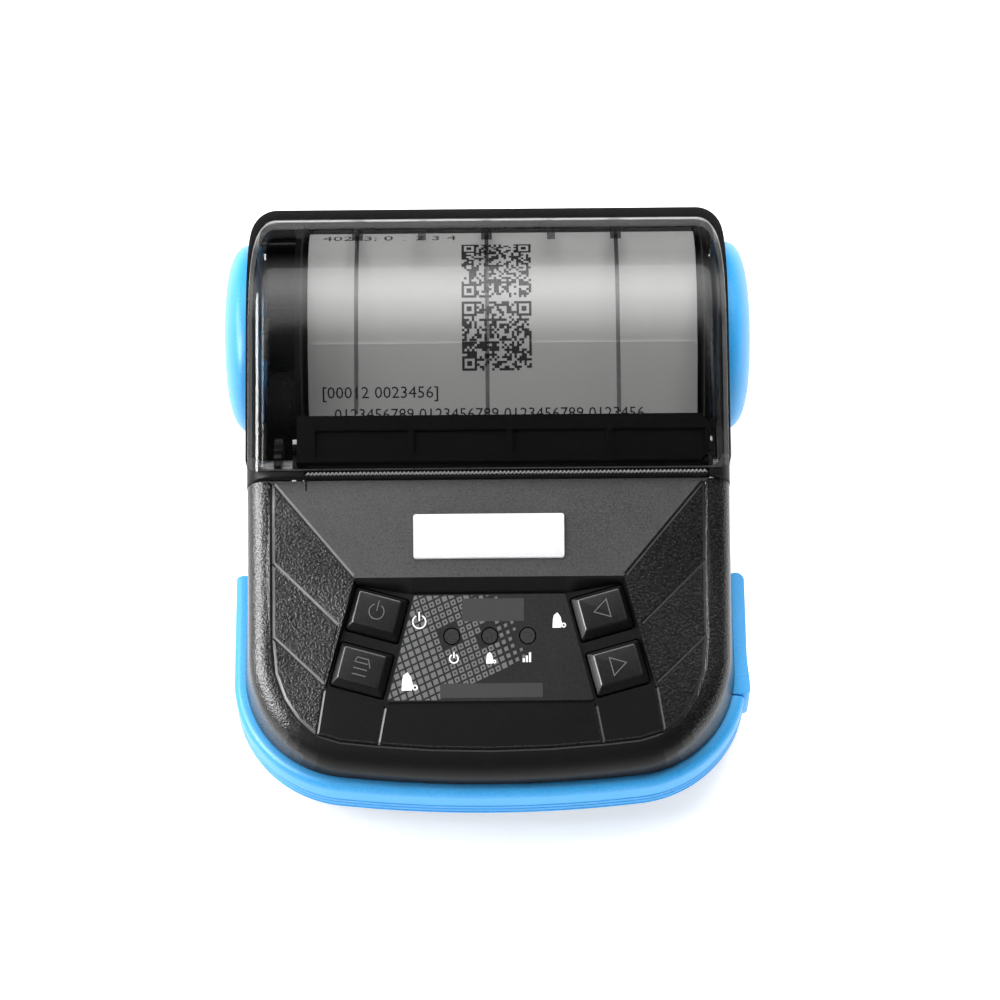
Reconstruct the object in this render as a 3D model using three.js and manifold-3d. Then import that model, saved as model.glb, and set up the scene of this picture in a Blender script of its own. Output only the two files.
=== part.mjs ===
// Portable thermal receipt printer for 80 mm paper, in millimetres, +Z up, front towards -Y.
// The origin is the centre of the underside. Every sub-part is its own closed solid.

import * as THREE from 'three';
import { mergeVertices } from 'three/addons/utils/BufferGeometryUtils.js';
import Module from 'manifold-3d';

const wasm = await Module();
wasm.setup();

// Fits shared by all pieces
const seatGap = 0.3;
const runGap = 0.1;
const overrun = 5;
const wall = 2;

// Paper roll
const paperWidth = 79.8;
const paperCentreX = 3.1;
const rollRadius = 19;
const coreRadius = 6.2;
const coreWall = 1.2;
const webThickness = 0.2;
const paperLeftX = paperCentreX - paperWidth / 2;
const paperRightX = paperCentreX + paperWidth / 2;

// Body outline, seen from above, and the draft of its side walls
const sideRoom = 6.7;
const topDraft = 1.2;
const bodyHalfWidth = paperRightX + sideRoom;
const bodyFrontY = -59.6;
const cornerRadius = 22;
const frontRadius = 260;
const topWidthShare = (bodyHalfWidth - topDraft) / bodyHalfWidth;

// Heights of the shell and the sloping deck
const splitZ = 17.6;
const rimRadius = 5;
const deckRearY = -5;
const deckRearZ = 44.7;
const creaseY = -22.4;
const creaseZ = 36.7;
const panelRearY = -24.8;
const panelRearZ = 33.6;
const panelFrontY = -46.3;
const panelFrontZ = 28.4;
const panelRearHalf = 15.5;
const panelFrontHalf = 21;
const pocketRearHalf = 27;
const pocketFrontHalf = 33;
const pocketFrontDrop = 3.3;
const ceilingBreakY = -14;

// Dome over the paper roll, and the rear wall under it
const rollRoom = 9;
const coverOverhang = 0.5;
const rearLift = 0.5;
const domeY = 34;
const domeRadius = rollRadius + rollRoom;
const rearRadius = domeRadius - coverOverhang;
const domeZ = rearRadius + rearLift;
const coverInset = 0.8;
const coverHalfWidth = bodyHalfWidth - coverInset;
const coverEdgeRadius = 5.5;
const coverFrontGap = 0.4;
const coverFrontY = deckRearY + coverFrontGap;
const coverFrontZ = 47.2;
const coverRearDrop = 0.4;
const coverRearZ = domeZ - coverRearDrop;
const skirtLift = 2;
const skirtBottomZ = domeZ + skirtLift;
const coverRibX = 26.4;
const coverRibWidth = 0.8;
const coverRibDepth = 0.6;

// Hinge at the rear
const hingeInset = 3;
const hingeDrop = 3.6;
const hingeY = domeY + domeRadius - hingeInset;
const hingeZ = domeZ - hingeDrop;
const hingePinRadius = 1.5;
const knuckleRadius = 2.4;

// Bay of the paper roll, which lies low and towards the rear in it
const rollShift = 5.7;
const rollDrop = 2.3;
const rollY = domeY + rollShift;
const rollZ = domeZ - rollDrop;
const bayInset = 1.9;
const bayLift = 0.5;
const bayZ = domeZ + bayLift;
const bayRadius = rearRadius - bayInset;
const bayFrontTopZ = 23;
const baySideGap = 1;
const bayLeftX = paperLeftX - baySideGap;
const bayRightX = paperRightX + baySideGap;

// Lower housing
const rearWallDrop = 2;
const rearWallTopZ = domeZ - rearWallDrop;
const bottomRound = 3;
const bayEndWall = 1.2;

// Blue bumper band and port flap
const bandBottomZ = 6.3;
const bandTopZ = 17.5;
const bandProud = 2.4;
const bandRecess = 1.2;
const bandStartY = -13.5;
const bandChamfer = 0.8;
const flapFrontY = -40.5;
const flapThickness = 3.5;
const flapLip = 0.5;
const flapLipLength = 8;

// Release buttons in the side cheeks
const cheekThickness = 2.3;
const cheekInnerX = bodyHalfWidth - cheekThickness;
const buttonY = 36;
const buttonZ = 27;
const buttonInset = 8.5;
const buttonRadius = domeRadius - buttonInset;
const buttonRunGap = 0.4;
const buttonCrown = 5;
const buttonEdge = 2.4;
const buttonRimX = bodyHalfWidth - seatGap;
const buttonReachX = buttonRimX + buttonCrown;
const buttonBackX = buttonRimX - buttonEdge;
const buttonTravel = 1.5;
const buttonShell = 2.2;
const ringWidth = 2;

// Platen and drive
const platenRadius = 5;
const platenY = 0.75;
const platenZ = 38.2;
const shaftRadius = 2;
const bushRadius = 3;
const gearModule = 0.5;
const platenTeeth = 24;
const idlerSmallTeeth = 16;
const idlerLargeTeeth = 28;
const pinionTeeth = 12;
const gearWidth = 1.5;
const idlerAngle = -120;
const pinionAngle = 221.4;
const armThickness = 0.8;
const motorRadius = 6.5;
const motorLength = 20.5;

// Battery and boards
const batteryInset = 16.7;
const batteryHalfWidth = bodyHalfWidth - batteryInset;
const batteryFrontY = -52;
const batteryRearY = -19;
const batteryBottomZ = 0.6;
const batteryTopZ = 18.6;
const boardThickness = 1.6;
const boardDepth = 6.9;
const boardHalfWidth = 33;
const boardFrontY = -46.6;
const boardRearY = -22;

// Keys
const keyWidth = 10.7;
const keyDepth = 8.5;
const keyTilt = 15;
const keyRearX = 22.6;
const keyRearY = -28.8;
const keyFrontX = 25.6;
const keyFrontY = -39.65;
const keyRise = 1.9;
const keyTopInset = 1.2;

// Places that follow from the sizes above
const cornerX = bodyHalfWidth - cornerRadius;
const frontCentreY = bodyFrontY + frontRadius;
const cornerY = frontCentreY - Math.sqrt((frontRadius - cornerRadius) ** 2 - cornerX ** 2);
const shellBottomZ = splitZ + seatGap;

const upperSlope = (deckRearZ - creaseZ) / (deckRearY - creaseY);
const lowerSlope = (creaseZ - panelFrontZ) / (creaseY - panelFrontY);
const panelSlope = (panelRearZ - panelFrontZ) / (panelRearY - panelFrontY);

function deckZ(y) {
  return y > creaseY ? deckRearZ + upperSlope * (y - deckRearY) : creaseZ + lowerSlope * (y - creaseY);
}

function panelZ(y) {
  return panelFrontZ + panelSlope * (y - panelFrontY);
}

function ceilingZ(y) {
  const breakZ = deckZ(ceilingBreakY) - wall;
  const lowZ = panelZ(creaseY) - wall;
  if (y >= ceilingBreakY) return deckZ(y) - wall;
  if (y <= creaseY) return panelZ(y) - wall;
  return lowZ + ((breakZ - lowZ) * (y - creaseY)) / (ceilingBreakY - creaseY);
}

// The cover's top runs straight up from its front edge and meets the dome as a tangent
const frontReach = Math.hypot(domeY - coverFrontY, domeZ - coverFrontZ);
const coverAngle = Math.atan2(domeZ - coverFrontZ, domeY - coverFrontY) + Math.asin(domeRadius / frontReach);
const coverSlope = Math.tan(coverAngle);

function coverTopZ(y) {
  return coverFrontZ + coverSlope * (y - coverFrontY);
}

function coverUnderZ(y) {
  return coverTopZ(y) - wall / Math.cos(coverAngle);
}

// Materials
function finish(color, roughness, metalness = 0) {
  return new THREE.MeshStandardMaterial({ color, roughness, metalness });
}

const blackPlastic = finish(0x1b1b1c, 0.55);
const bluePlastic = finish(0x3f9df2, 0.4);
const smokedCover = new THREE.MeshStandardMaterial({
  color: 0x2c2c2e, roughness: 0.12, transparent: true, opacity: 0.5,
});
const blackRubber = finish(0x151515, 0.85);
const steel = finish(0xb8babd, 0.3, 1);
const aluminium = finish(0xa7aaad, 0.45, 1);
const whiteNylon = finish(0xe6e4dc, 0.5);
const paperWhite = finish(0xf2f1ee, 0.9);
const cardBrown = finish(0x9b7a54, 0.9);
const greenBoard = finish(0x1e5a3a, 0.5);
const ceramic = finish(0x6e5a4a, 0.35);
const whiteLabel = finish(0xf6f6f6, 0.6);
const panelPrint = finish(0x2a2a2c, 0.45);
const clearPipe = finish(0xd8dde0, 0.2);

// Solids
function toSolid(source) {
  const plain = source.index ? source.toNonIndexed() : source.clone();
  plain.deleteAttribute('normal');
  plain.deleteAttribute('uv');
  const merged = mergeVertices(plain);
  return new wasm.Manifold(new wasm.Mesh({
    numProp: 3,
    vertProperties: new Float32Array(merged.attributes.position.array),
    triVerts: new Uint32Array(merged.index.array),
  }));
}

function toGeometry(solid) {
  const mesh = solid.getMesh();
  const geometry = new THREE.BufferGeometry();
  geometry.setAttribute('position', new THREE.BufferAttribute(new Float32Array(mesh.vertProperties), 3));
  geometry.setIndex(new THREE.BufferAttribute(new Uint32Array(mesh.triVerts), 1));
  geometry.computeVertexNormals();
  return geometry;
}

function join(solids) {
  return solids.reduce((sum, solid) => sum.add(solid));
}

function cut(solid, cutters) {
  return cutters.reduce((rest, cutter) => rest.subtract(cutter), solid);
}

function shapeOf(points, holes = []) {
  const shape = new THREE.Shape(points.map(([u, v]) => new THREE.Vector2(u, v)));
  holes.forEach((hole) => shape.holes.push(new THREE.Path(hole.map(([u, v]) => new THREE.Vector2(u, v)))));
  return shape;
}

const axisX = new THREE.Vector3(1, 0, 0);
const axisY = new THREE.Vector3(0, 1, 0);
const axisZ = new THREE.Vector3(0, 0, 1);

// A YZ outline carried from x0 to x1
function alongX(points, x0, x1, holes = []) {
  const geometry = new THREE.ExtrudeGeometry(shapeOf(points, holes), { depth: x1 - x0, bevelEnabled: false });
  geometry.applyMatrix4(new THREE.Matrix4().makeBasis(axisY, axisZ, axisX));
  geometry.translate(x0, 0, 0);
  return toSolid(geometry);
}

// An XZ outline carried from y0 to y1
function alongY(points, y0, y1) {
  const geometry = new THREE.ExtrudeGeometry(shapeOf(points), { depth: y1 - y0, bevelEnabled: false });
  geometry.applyMatrix4(new THREE.Matrix4().makeBasis(axisX, axisZ, axisY.clone().negate()));
  geometry.translate(0, y1, 0);
  return toSolid(geometry);
}

// An XY outline carried from z0 to z1
function alongZ(points, z0, z1) {
  const geometry = new THREE.ExtrudeGeometry(shapeOf(points), { depth: z1 - z0, bevelEnabled: false });
  geometry.translate(0, 0, z0);
  return toSolid(geometry);
}

function block(x0, x1, y0, y1, z0, z1) {
  const geometry = new THREE.BoxGeometry(x1 - x0, y1 - y0, z1 - z0);
  geometry.translate((x0 + x1) / 2, (y0 + y1) / 2, (z0 + z1) / 2);
  return toSolid(geometry);
}

// The same piece on the other side of the middle plane
function blockEachSide(innerX, outerX, y0, y1, z0, z1) {
  return join([block(innerX, outerX, y0, y1, z0, z1), block(-outerX, -innerX, y0, y1, z0, z1)]);
}

function arc(centreU, centreV, radius, startAngle, endAngle, steps) {
  return Array.from({ length: steps + 1 }, (_, i) => {
    const angle = THREE.MathUtils.degToRad(startAngle + ((endAngle - startAngle) * i) / steps);
    return [centreU + radius * Math.cos(angle), centreV + radius * Math.sin(angle)];
  });
}

const roundSteps = 16;
const ringSteps = 32;

function circle(centreU, centreV, radius, steps = roundSteps) {
  return arc(centreU, centreV, radius, 0, 360, steps).slice(0, -1);
}

function rodX(x0, x1, y, z, radius, steps = roundSteps) {
  return alongX(circle(y, z, radius, steps), x0, x1);
}

function rodZ(x, y, z0, z1, radius, steps = roundSteps) {
  return alongZ(circle(x, y, radius, steps), z0, z1);
}

// A closed skin over rings with the same number of points, listed from the bottom up,
// each ring running anticlockwise from the rear left. The first pairs of points are joined
// straight across, so that a cap keeps its creases there.
function skin(rings, creases = 0) {
  const count = rings[0].length;
  const positions = rings.flat(2);
  const index = [];
  for (let ring = 0; ring < rings.length - 1; ring += 1) {
    for (let i = 0; i < count; i += 1) {
      const next = (i + 1) % count;
      const low = ring * count;
      const high = low + count;
      index.push(low + i, low + next, high + next, low + i, high + next, high + i);
    }
  }
  [[0, true], [rings.length - 1, false]].forEach(([ring, flipped]) => {
    const start = ring * count;
    const faces = [];
    for (let i = 0; i < creases; i += 1) {
      faces.push([i, i + 1, count - 2 - i], [i, count - 2 - i, count - 1 - i]);
    }
    const rest = rings[ring].slice(creases, count - creases);
    const flat = rest.map(([x, y]) => new THREE.Vector2(x, y));
    THREE.ShapeUtils.triangulateShape(flat, []).forEach((face) => faces.push(face.map((i) => i + creases)));
    faces.forEach(([a, b, c]) => index.push(start + a, start + (flipped ? c : b), start + (flipped ? b : c)));
  });
  const geometry = new THREE.BufferGeometry();
  geometry.setAttribute('position', new THREE.Float32BufferAttribute(positions, 3));
  geometry.setIndex(index);
  return toSolid(geometry);
}

// A slab between two sloping surfaces over an XY outline
function slab(points, lowZ, highZ, creases = 0) {
  return skin([lowZ, highZ].map((height) => points.map(([x, y]) => [x, y, height(y)])), creases);
}

function aboveSurface(surface, rise) {
  return (y) => surface(y) + rise;
}

// The body outline moved inwards, from its rear left corner round the front
const cornerSteps = 7;
const frontSteps = 3;

function bodyOutline(inset, rearY, breaks = []) {
  const meet = Math.atan2(cornerY - frontCentreY, cornerX);
  const right = [rearY, ...breaks].map((y) => [bodyHalfWidth - inset, y]);
  for (let i = 0; i <= cornerSteps; i += 1) {
    const angle = (meet * i) / cornerSteps;
    const radius = cornerRadius - inset;
    right.push([cornerX + radius * Math.cos(angle), cornerY + radius * Math.sin(angle)]);
  }
  for (let i = 1; i < frontSteps; i += 1) {
    const angle = meet - ((Math.PI / 2 + meet) * i) / frontSteps;
    const radius = frontRadius - inset;
    right.push([radius * Math.cos(angle), frontCentreY + radius * Math.sin(angle)]);
  }
  const left = right.map(([x, y]) => [-x, y]);
  return [...left, [0, bodyFrontY + inset], ...right.reverse()];
}

function bodyRing(inset, rearY, breaks, height, widthShare = 1) {
  return bodyOutline(inset, rearY, breaks).map(([x, y]) => [x * widthShare, y, height(y)]);
}

// Rings of a rounded rim, drawn in at the sides, that ends in the surface above it
function rimRings(inset, radius, rearY, breaks, surface, steps) {
  return Array.from({ length: steps + 1 }, (_, i) => {
    const angle = (Math.PI / 2) * (i / steps);
    const shift = inset + radius * (1 - Math.cos(angle));
    const height = aboveSurface(surface, -radius * (1 - Math.sin(angle)));
    return bodyRing(shift, rearY, breaks, height, topWidthShare);
  });
}

function level(z) {
  return () => z;
}

function bodyPrism(inset, rearY, z0, z1) {
  return skin([bodyRing(inset, rearY, [], level(z0)), bodyRing(inset, rearY, [], level(z1))]);
}

// Case screws, front pair and rear pair
const screwHeadRadius = 2.6;
const screwHeadHeight = 2;
const screwShankRadius = 1.4;
const screwTopZ = 20.6;
const screwHeadBottomZ = 0.8;
const screwBossRadius = 4.2;
const screwFrontInset = 10.2;
const screwRearInset = 7.3;
const screwFrontX = bodyHalfWidth - screwFrontInset;
const screwFrontY = -44;
const screwRearX = bodyHalfWidth - screwRearInset;
const screwRearY = 2;
const screwPlaces = [
  [-screwFrontX, screwFrontY], [screwFrontX, screwFrontY], [-screwRearX, screwRearY], [screwRearX, screwRearY],
];

function caseScrew([x, y]) {
  const headTopZ = screwHeadBottomZ + screwHeadHeight;
  const socketDepth = screwHeadHeight / 2;
  const socket = alongZ(
    circle(x, y, screwShankRadius, 6), screwHeadBottomZ - overrun, screwHeadBottomZ + socketDepth,
  );
  const body = join([
    rodZ(x, y, screwHeadBottomZ, headTopZ, screwHeadRadius),
    rodZ(x, y, headTopZ - socketDepth / 2, screwTopZ, screwShankRadius),
  ]);
  return cut(body, [socket]);
}

// Latch levers beside the platen shaft, over its two ends
const leverGap = 0.5;
const leverInnerX = bayRightX + bayEndWall + leverGap;
const leverOuterX = leverInnerX + armThickness;
const leverSwing = 1.2;
const shaftHalfLength = leverOuterX;
const leverPivotY = 9;
const leverPivotZ = 27.5;
const leverPinRadius = 1.5;
const leverPinHeadX = leverInnerX + runGap;

// Angles between which the cheek's rear edge follows the rear wall, then its hinge ear
const cheekCurveStart = -21.5;
const cheekCurveEnd = -12.5;
const cheekEarStart = -35;

function cheekSolid() {
  const ringRadius = buttonRadius + buttonRunGap + ringWidth;
  const joinY = deckRearY - wall;
  const frontTopZ = skirtBottomZ - buttonRunGap;
  const rearTopZ = coverRearZ - seatGap;
  const rearCurve = arc(domeY, domeZ, rearRadius, cheekCurveStart, cheekCurveEnd, 3);
  const lowerRearY = domeY + Math.sqrt(rearRadius ** 2 - (domeZ - shellBottomZ) ** 2);
  const plate = [
    [joinY, shellBottomZ], [lowerRearY, shellBottomZ],
    ...rearCurve.filter(([, z]) => z < hingeZ - knuckleRadius / 2),
    ...arc(hingeY, hingeZ, rearTopZ - hingeZ, cheekEarStart, 90, 6),
    [buttonY, rearTopZ], [buttonY - buttonRadius, frontTopZ], [joinY, frontTopZ],
  ];
  const belowSplit = block(
    cheekInnerX - overrun, bodyHalfWidth + overrun, buttonY - ringRadius - overrun, buttonY + ringRadius + overrun,
    -overrun, shellBottomZ,
  );
  const ring = cut(rodX(cheekInnerX, bodyHalfWidth, buttonY, buttonZ, ringRadius, ringSteps), [belowSplit]);
  return join([alongX(plate, cheekInnerX, bodyHalfWidth), ring]);
}

function mirrored(solid) {
  const mirror = toGeometry(solid);
  mirror.scale(-1, 1, 1);
  const order = mirror.index.array;
  for (let i = 0; i < order.length; i += 3) [order[i], order[i + 1]] = [order[i + 1], order[i]];
  return toSolid(mirror);
}

function bothSides(solid) {
  return join([solid, mirrored(solid)]);
}

function keyOutline(centreX, centreY, turn, grow) {
  const angle = THREE.MathUtils.degToRad(turn);
  const halfWidth = keyWidth / 2 + grow;
  const halfDepth = keyDepth / 2 + grow;
  return [[-halfWidth, halfDepth], [-halfWidth, -halfDepth], [halfWidth, -halfDepth], [halfWidth, halfDepth]]
    .map(([u, v]) => [
      centreX + u * Math.cos(angle) - v * Math.sin(angle),
      centreY + u * Math.sin(angle) + v * Math.cos(angle),
    ]);
}

const keyPlaces = {
  power_key: [-keyRearX, keyRearY, -keyTilt],
  feed_key: [-keyFrontX, keyFrontY, -keyTilt],
  back_key: [keyRearX, keyRearY, keyTilt],
  forward_key: [keyFrontX, keyFrontY, keyTilt],
};

// Lamps behind the panel
const lampSpacing = 7.6;
const lampY = -33.3;
const lampRadius = 1.5;
const lampPlaces = { lamp_left: -lampSpacing, lamp_middle: 0, lamp_right: lampSpacing };

// Posts that carry the main board under the deck
const postX = 12.5;
const postRearY = -27.5;
const postFrontY = -43.5;
const postRadius = 2;

function topHousing() {
  const breaks = [creaseY];
  const outer = skin([
    bodyRing(0, deckRearY, breaks, level(shellBottomZ)),
    ...rimRings(0, rimRadius, deckRearY, breaks, deckZ, 4),
  ], breaks.length);
  const innerBreaks = [ceilingBreakY, creaseY];
  const openY = deckRearY + overrun;
  const inner = skin([
    bodyRing(wall, openY, innerBreaks, level(shellBottomZ - overrun)),
    ...rimRings(wall, rimRadius - wall, openY, innerBreaks, ceilingZ, 3),
  ], innerBreaks.length);
  const pocket = slab([
    [-pocketRearHalf, creaseY - seatGap], [-panelRearHalf, panelRearY], [panelRearHalf, panelRearY],
    [pocketRearHalf, creaseY - seatGap], [pocketFrontHalf, panelFrontY + pocketFrontDrop],
    [panelFrontHalf, panelFrontY], [-panelFrontHalf, panelFrontY],
    [-pocketFrontHalf, panelFrontY + pocketFrontDrop],
  ].reverse(), panelZ, aboveSurface(panelZ, overrun));
  const keyHoles = Object.values(keyPlaces).map(([x, y, turn]) => slab(
    keyOutline(x, y, turn, seatGap), aboveSurface(panelZ, -overrun), aboveSurface(panelZ, overrun),
  ));
  const lampHoles = Object.values(lampPlaces).map((x) => rodZ(
    x, lampY, panelZ(lampY) - overrun, panelZ(lampY) + overrun, lampRadius + seatGap,
  ));
  const boardTop = aboveSurface(panelZ, -boardDepth + seatGap);
  const posts = [-postX, postX].flatMap((x) => [postRearY, postFrontY].map((y) => slab(
    circle(x, y, postRadius, 12), boardTop, aboveSurface(panelZ, -wall / 2),
  )));
  const frontBosses = screwPlaces.slice(0, 2).map(([x, y]) => slab(
    circle(x, y, screwBossRadius - wall / 2, 16), level(shellBottomZ), aboveSurface(ceilingZ, wall / 2),
  ));
  const lugHalf = screwBossRadius - wall / 2;
  const lug = block(
    screwRearX - lugHalf, cheekInnerX + wall / 2, screwRearY - lugHalf, screwRearY + lugHalf,
    shellBottomZ, screwTopZ + seatGap,
  );
  const pivotPin = rodX(leverPinHeadX, cheekInnerX + wall / 2, leverPivotY, leverPivotZ, leverPinRadius);
  const pilotHoles = screwPlaces.map(([x, y]) => rodZ(
    x, y, shellBottomZ - overrun, screwTopZ + seatGap / 2, screwShankRadius + seatGap,
  ));
  const rearHoles = [
    rodX(cheekInnerX - overrun, bodyHalfWidth + overrun, buttonY, buttonZ, buttonRadius + buttonRunGap, ringSteps),
    rodX(cheekInnerX - overrun, bodyHalfWidth + overrun, hingeY, hingeZ, hingePinRadius + runGap),
  ];
  const leverRoom = blockEachSide(
    leverInnerX - seatGap, leverOuterX + seatGap, deckRearY - leverSwing, openY,
    platenZ - shaftRadius, platenZ + 2 * shaftRadius + seatGap,
  );
  const shell = cut(outer, [inner, pocket, leverRoom, ...keyHoles]);
  const side = cut(join([cheekSolid(), lug, pivotPin]), rearHoles);
  return cut(join([shell, ...posts, ...frontBosses, bothSides(side)]), [...lampHoles, ...pilotHoles]);
}

// Lower housing with the roll bay
const underBayFrontAngle = 197;
const underBayRearAngle = 254;
const floorZ = wall;
const cavityInset = bandRecess + wall;
const cavityRearY = 5.5;
const bandFloorZ = bandBottomZ - seatGap;
const portWindowFrontY = -38.5;
const portWindowRearY = -17;
const portWindowBottomZ = 8;
const portWindowTopZ = 16.5;
const portPostRadius = 2;

function bayOutline(radius) {
  return circle(domeY, bayZ, radius, ringSteps);
}

const portPostInset = 8.2;
const portPostX = bodyHalfWidth - portPostInset;
const portBoardZ = 8.3;
const portBoardTopZ = portBoardZ + boardThickness;
const portPostYs = [portWindowFrontY + portPostRadius, portWindowRearY - portPostRadius];

function bottomHousing() {
  const frontShell = skin([
    bodyRing(bottomRound, domeY, [], level(0)),
    bodyRing(bottomRound / 3, domeY, [], level(bottomRound / 3)),
    bodyRing(0, domeY, [], level(bottomRound)),
    bodyRing(0, domeY, [], level(splitZ)),
  ]);
  const rearTopAngle = -THREE.MathUtils.radToDeg(Math.asin((domeZ - rearWallTopZ) / rearRadius));
  const bayBackRadius = bayRadius + wall;
  const rearBody = alongX([
    [creaseY + wall, bottomRound], [domeY, domeZ - rearRadius],
    ...arc(domeY, domeZ, rearRadius, -90, rearTopAngle, 14),
    [hingeY - overrun, rearWallTopZ], [hingeY - overrun, splitZ], [creaseY + wall, splitZ],
  ], -bodyHalfWidth, bodyHalfWidth);
  const bayFront = alongX(bayOutline(bayBackRadius), bayLeftX - bayEndWall, bayRightX + bayEndWall)
    .intersect(block(-bodyHalfWidth, bodyHalfWidth, 0, domeY / 2, floorZ, bayFrontTopZ));
  const cavityTop = splitZ + overrun;
  const cavity = bodyPrism(cavityInset, cavityRearY, floorZ, cavityTop);
  const underBay = alongX([
    [0, floorZ], ...arc(domeY, bayZ, bayBackRadius, underBayRearAngle, underBayFrontAngle, 6), [0, bayFrontTopZ],
  ], -cheekInnerX + wall / 2, cheekInnerX - wall / 2).intersect(block(
    -bodyHalfWidth, bodyHalfWidth, -overrun, domeY, floorZ, cavityTop + overrun,
  ));
  const bandCut = cut(bodyPrism(-overrun, bandStartY + seatGap, bandFloorZ, cavityTop), [
    bodyPrism(bandRecess, domeY, bandFloorZ - overrun, cavityTop + overrun),
  ]);
  const sideTop = domeZ + bayRadius;
  const pocketRadius = bayRadius - seatGap;
  const endWallLeft = bayLeftX - bayEndWall;
  const endWallRight = bayRightX + bayEndWall;
  const pocketX = cheekInnerX - runGap;
  const armRoomFrontY = hingeY - overrun - wall;
  const armRoomBottomZ = hingeZ - knuckleRadius - wall / 2;
  const guideRoom = (x0, x1) => cut(rodX(x0, x1, domeY, domeZ, guideRadius + seatGap, ringSteps), [block(
    x0 - overrun, x1 + overrun, -domeY, hingeY + overrun, -overrun, splitZ,
  )]);
  const cutters = [
    cavity, underBay, bandCut,
    alongX(bayOutline(bayRadius), bayLeftX, bayRightX),
    alongX(bayOutline(pocketRadius), -pocketX, endWallLeft),
    alongX(bayOutline(pocketRadius), endWallRight, pocketX),
    block(-pocketX - overrun, endWallLeft, armRoomFrontY, hingeY + overrun, armRoomBottomZ, sideTop),
    block(endWallRight, pocketX + overrun, armRoomFrontY, hingeY + overrun, armRoomBottomZ, sideTop),
    bothSides(rodX(
      pocketX - wall, bodyHalfWidth + overrun, buttonY, buttonZ, buttonRadius + buttonRunGap, ringSteps,
    )),
    guideRoom(-pocketX, bayLeftX),
    guideRoom(bayRightX, pocketX),
    blockEachSide(pocketX - seatGap, bodyHalfWidth + overrun, -domeY, domeY + domeRadius + overrun, splitZ, sideTop),
    block(
      bodyHalfWidth - overrun, bodyHalfWidth + overrun, portWindowFrontY, portWindowRearY,
      portWindowBottomZ, portWindowTopZ,
    ),
    block(
      -batteryHalfWidth - seatGap, batteryHalfWidth + seatGap, batteryFrontY - seatGap, batteryRearY + seatGap,
      -overrun, floorZ + overrun,
    ),
  ];
  const ear = (x0, x1) => join([
    rodX(x0, x1, hingeY, hingeZ, knuckleRadius),
    block(x0, x1, hingeY, hingeY + wall, hingeZ - knuckleRadius, hingeZ),
  ]);
  const ears = [ear(endWallLeft, bayLeftX), ear(bayRightX, endWallRight)];
  const bosses = screwPlaces.map(([x, y]) => rodZ(x, y, floorZ / 2, splitZ, screwBossRadius));
  const portPosts = portPostYs.map((y) => rodZ(portPostX, y, floorZ / 2, portBoardZ - seatGap, portPostRadius));
  const headSeatZ = screwHeadBottomZ + screwHeadHeight + seatGap;
  const screwHoles = screwPlaces.flatMap(([x, y]) => [
    rodZ(x, y, -overrun, splitZ + overrun, screwShankRadius + seatGap),
    rodZ(x, y, -overrun, headSeatZ, screwHeadRadius + seatGap),
  ]);
  const body = cut(join([frontShell, rearBody, bayFront]), cutters);
  const pinHole = rodX(bayLeftX - wall, bayRightX + wall, hingeY, hingeZ, hingePinRadius + runGap);
  return cut(join([body, ...ears, ...bosses, ...portPosts]), [...screwHoles, pinHole]);
}

// Blue bumper
function bumperBand() {
  const inner = -(bandRecess - seatGap);
  const rings = [
    bodyRing(-bandProud + bandChamfer, bandStartY, [], level(bandBottomZ)),
    bodyRing(-bandProud, bandStartY, [], level(bandBottomZ + bandChamfer)),
    bodyRing(-bandProud, bandStartY, [], level(bandTopZ - bandChamfer)),
    bodyRing(-bandProud + bandChamfer, bandStartY, [], level(bandTopZ)),
  ];
  const solid = cut(skin(rings), [bodyPrism(-inner, bandStartY + overrun, bandBottomZ - overrun, bandTopZ + overrun)]);
  return cut(solid, [block(
    0, bodyHalfWidth + overrun, flapFrontY - seatGap, bandStartY + overrun, bandBottomZ - overrun, bandTopZ + overrun,
  )]);
}

const flapInnerX = bodyHalfWidth - bandRecess + seatGap;
const flapOuterX = flapInnerX + flapThickness;
const flapPivotX = (flapInnerX + flapOuterX) / 2;
const flapPivotY = bandStartY - flapThickness / 2 - seatGap;

function portFlap() {
  const outline = [
    ...arc(flapPivotX, flapPivotY, flapThickness / 2, 0, 180, 6),
    [flapInnerX, flapFrontY], [flapOuterX + flapLip / 2, flapFrontY],
    [flapOuterX + flapLip, flapFrontY + flapLipLength / 3], [flapOuterX, flapFrontY + flapLipLength],
  ];
  return alongZ(outline, bandBottomZ, bandTopZ);
}

// Ports behind the flap
const jackCentreY = -23;
const jackHalfWidth = 4.5;
const jackHeight = 6.3;
const jackBore = 2.7;
const jackPin = 0.6;
const portFaceInset = 3.6;
const jackLength = 7.5;
const portFaceX = bodyHalfWidth - portFaceInset;
const jackInnerX = portFaceX - jackLength;
const usbCentreY = -33;
const usbHalfWidth = 3.9;
const usbHeight = 3;
const usbShell = 0.4;
const usbLength = 5.5;
const usbInnerX = portFaceX - usbLength;

function dcJack() {
  const bottom = portBoardTopZ + seatGap;
  const middle = bottom + jackHeight / 2;
  const floorX = jackInnerX + jackPin * 2;
  const body = block(
    jackInnerX, portFaceX, jackCentreY - jackHalfWidth, jackCentreY + jackHalfWidth, bottom, bottom + jackHeight,
  );
  const bore = rodX(floorX, portFaceX + overrun, jackCentreY, middle, jackBore, 20);
  const pin = rodX(jackInnerX + jackPin, portFaceX - jackPin, jackCentreY, middle, jackPin, 8);
  return join([cut(body, [bore]), pin]);
}

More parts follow.
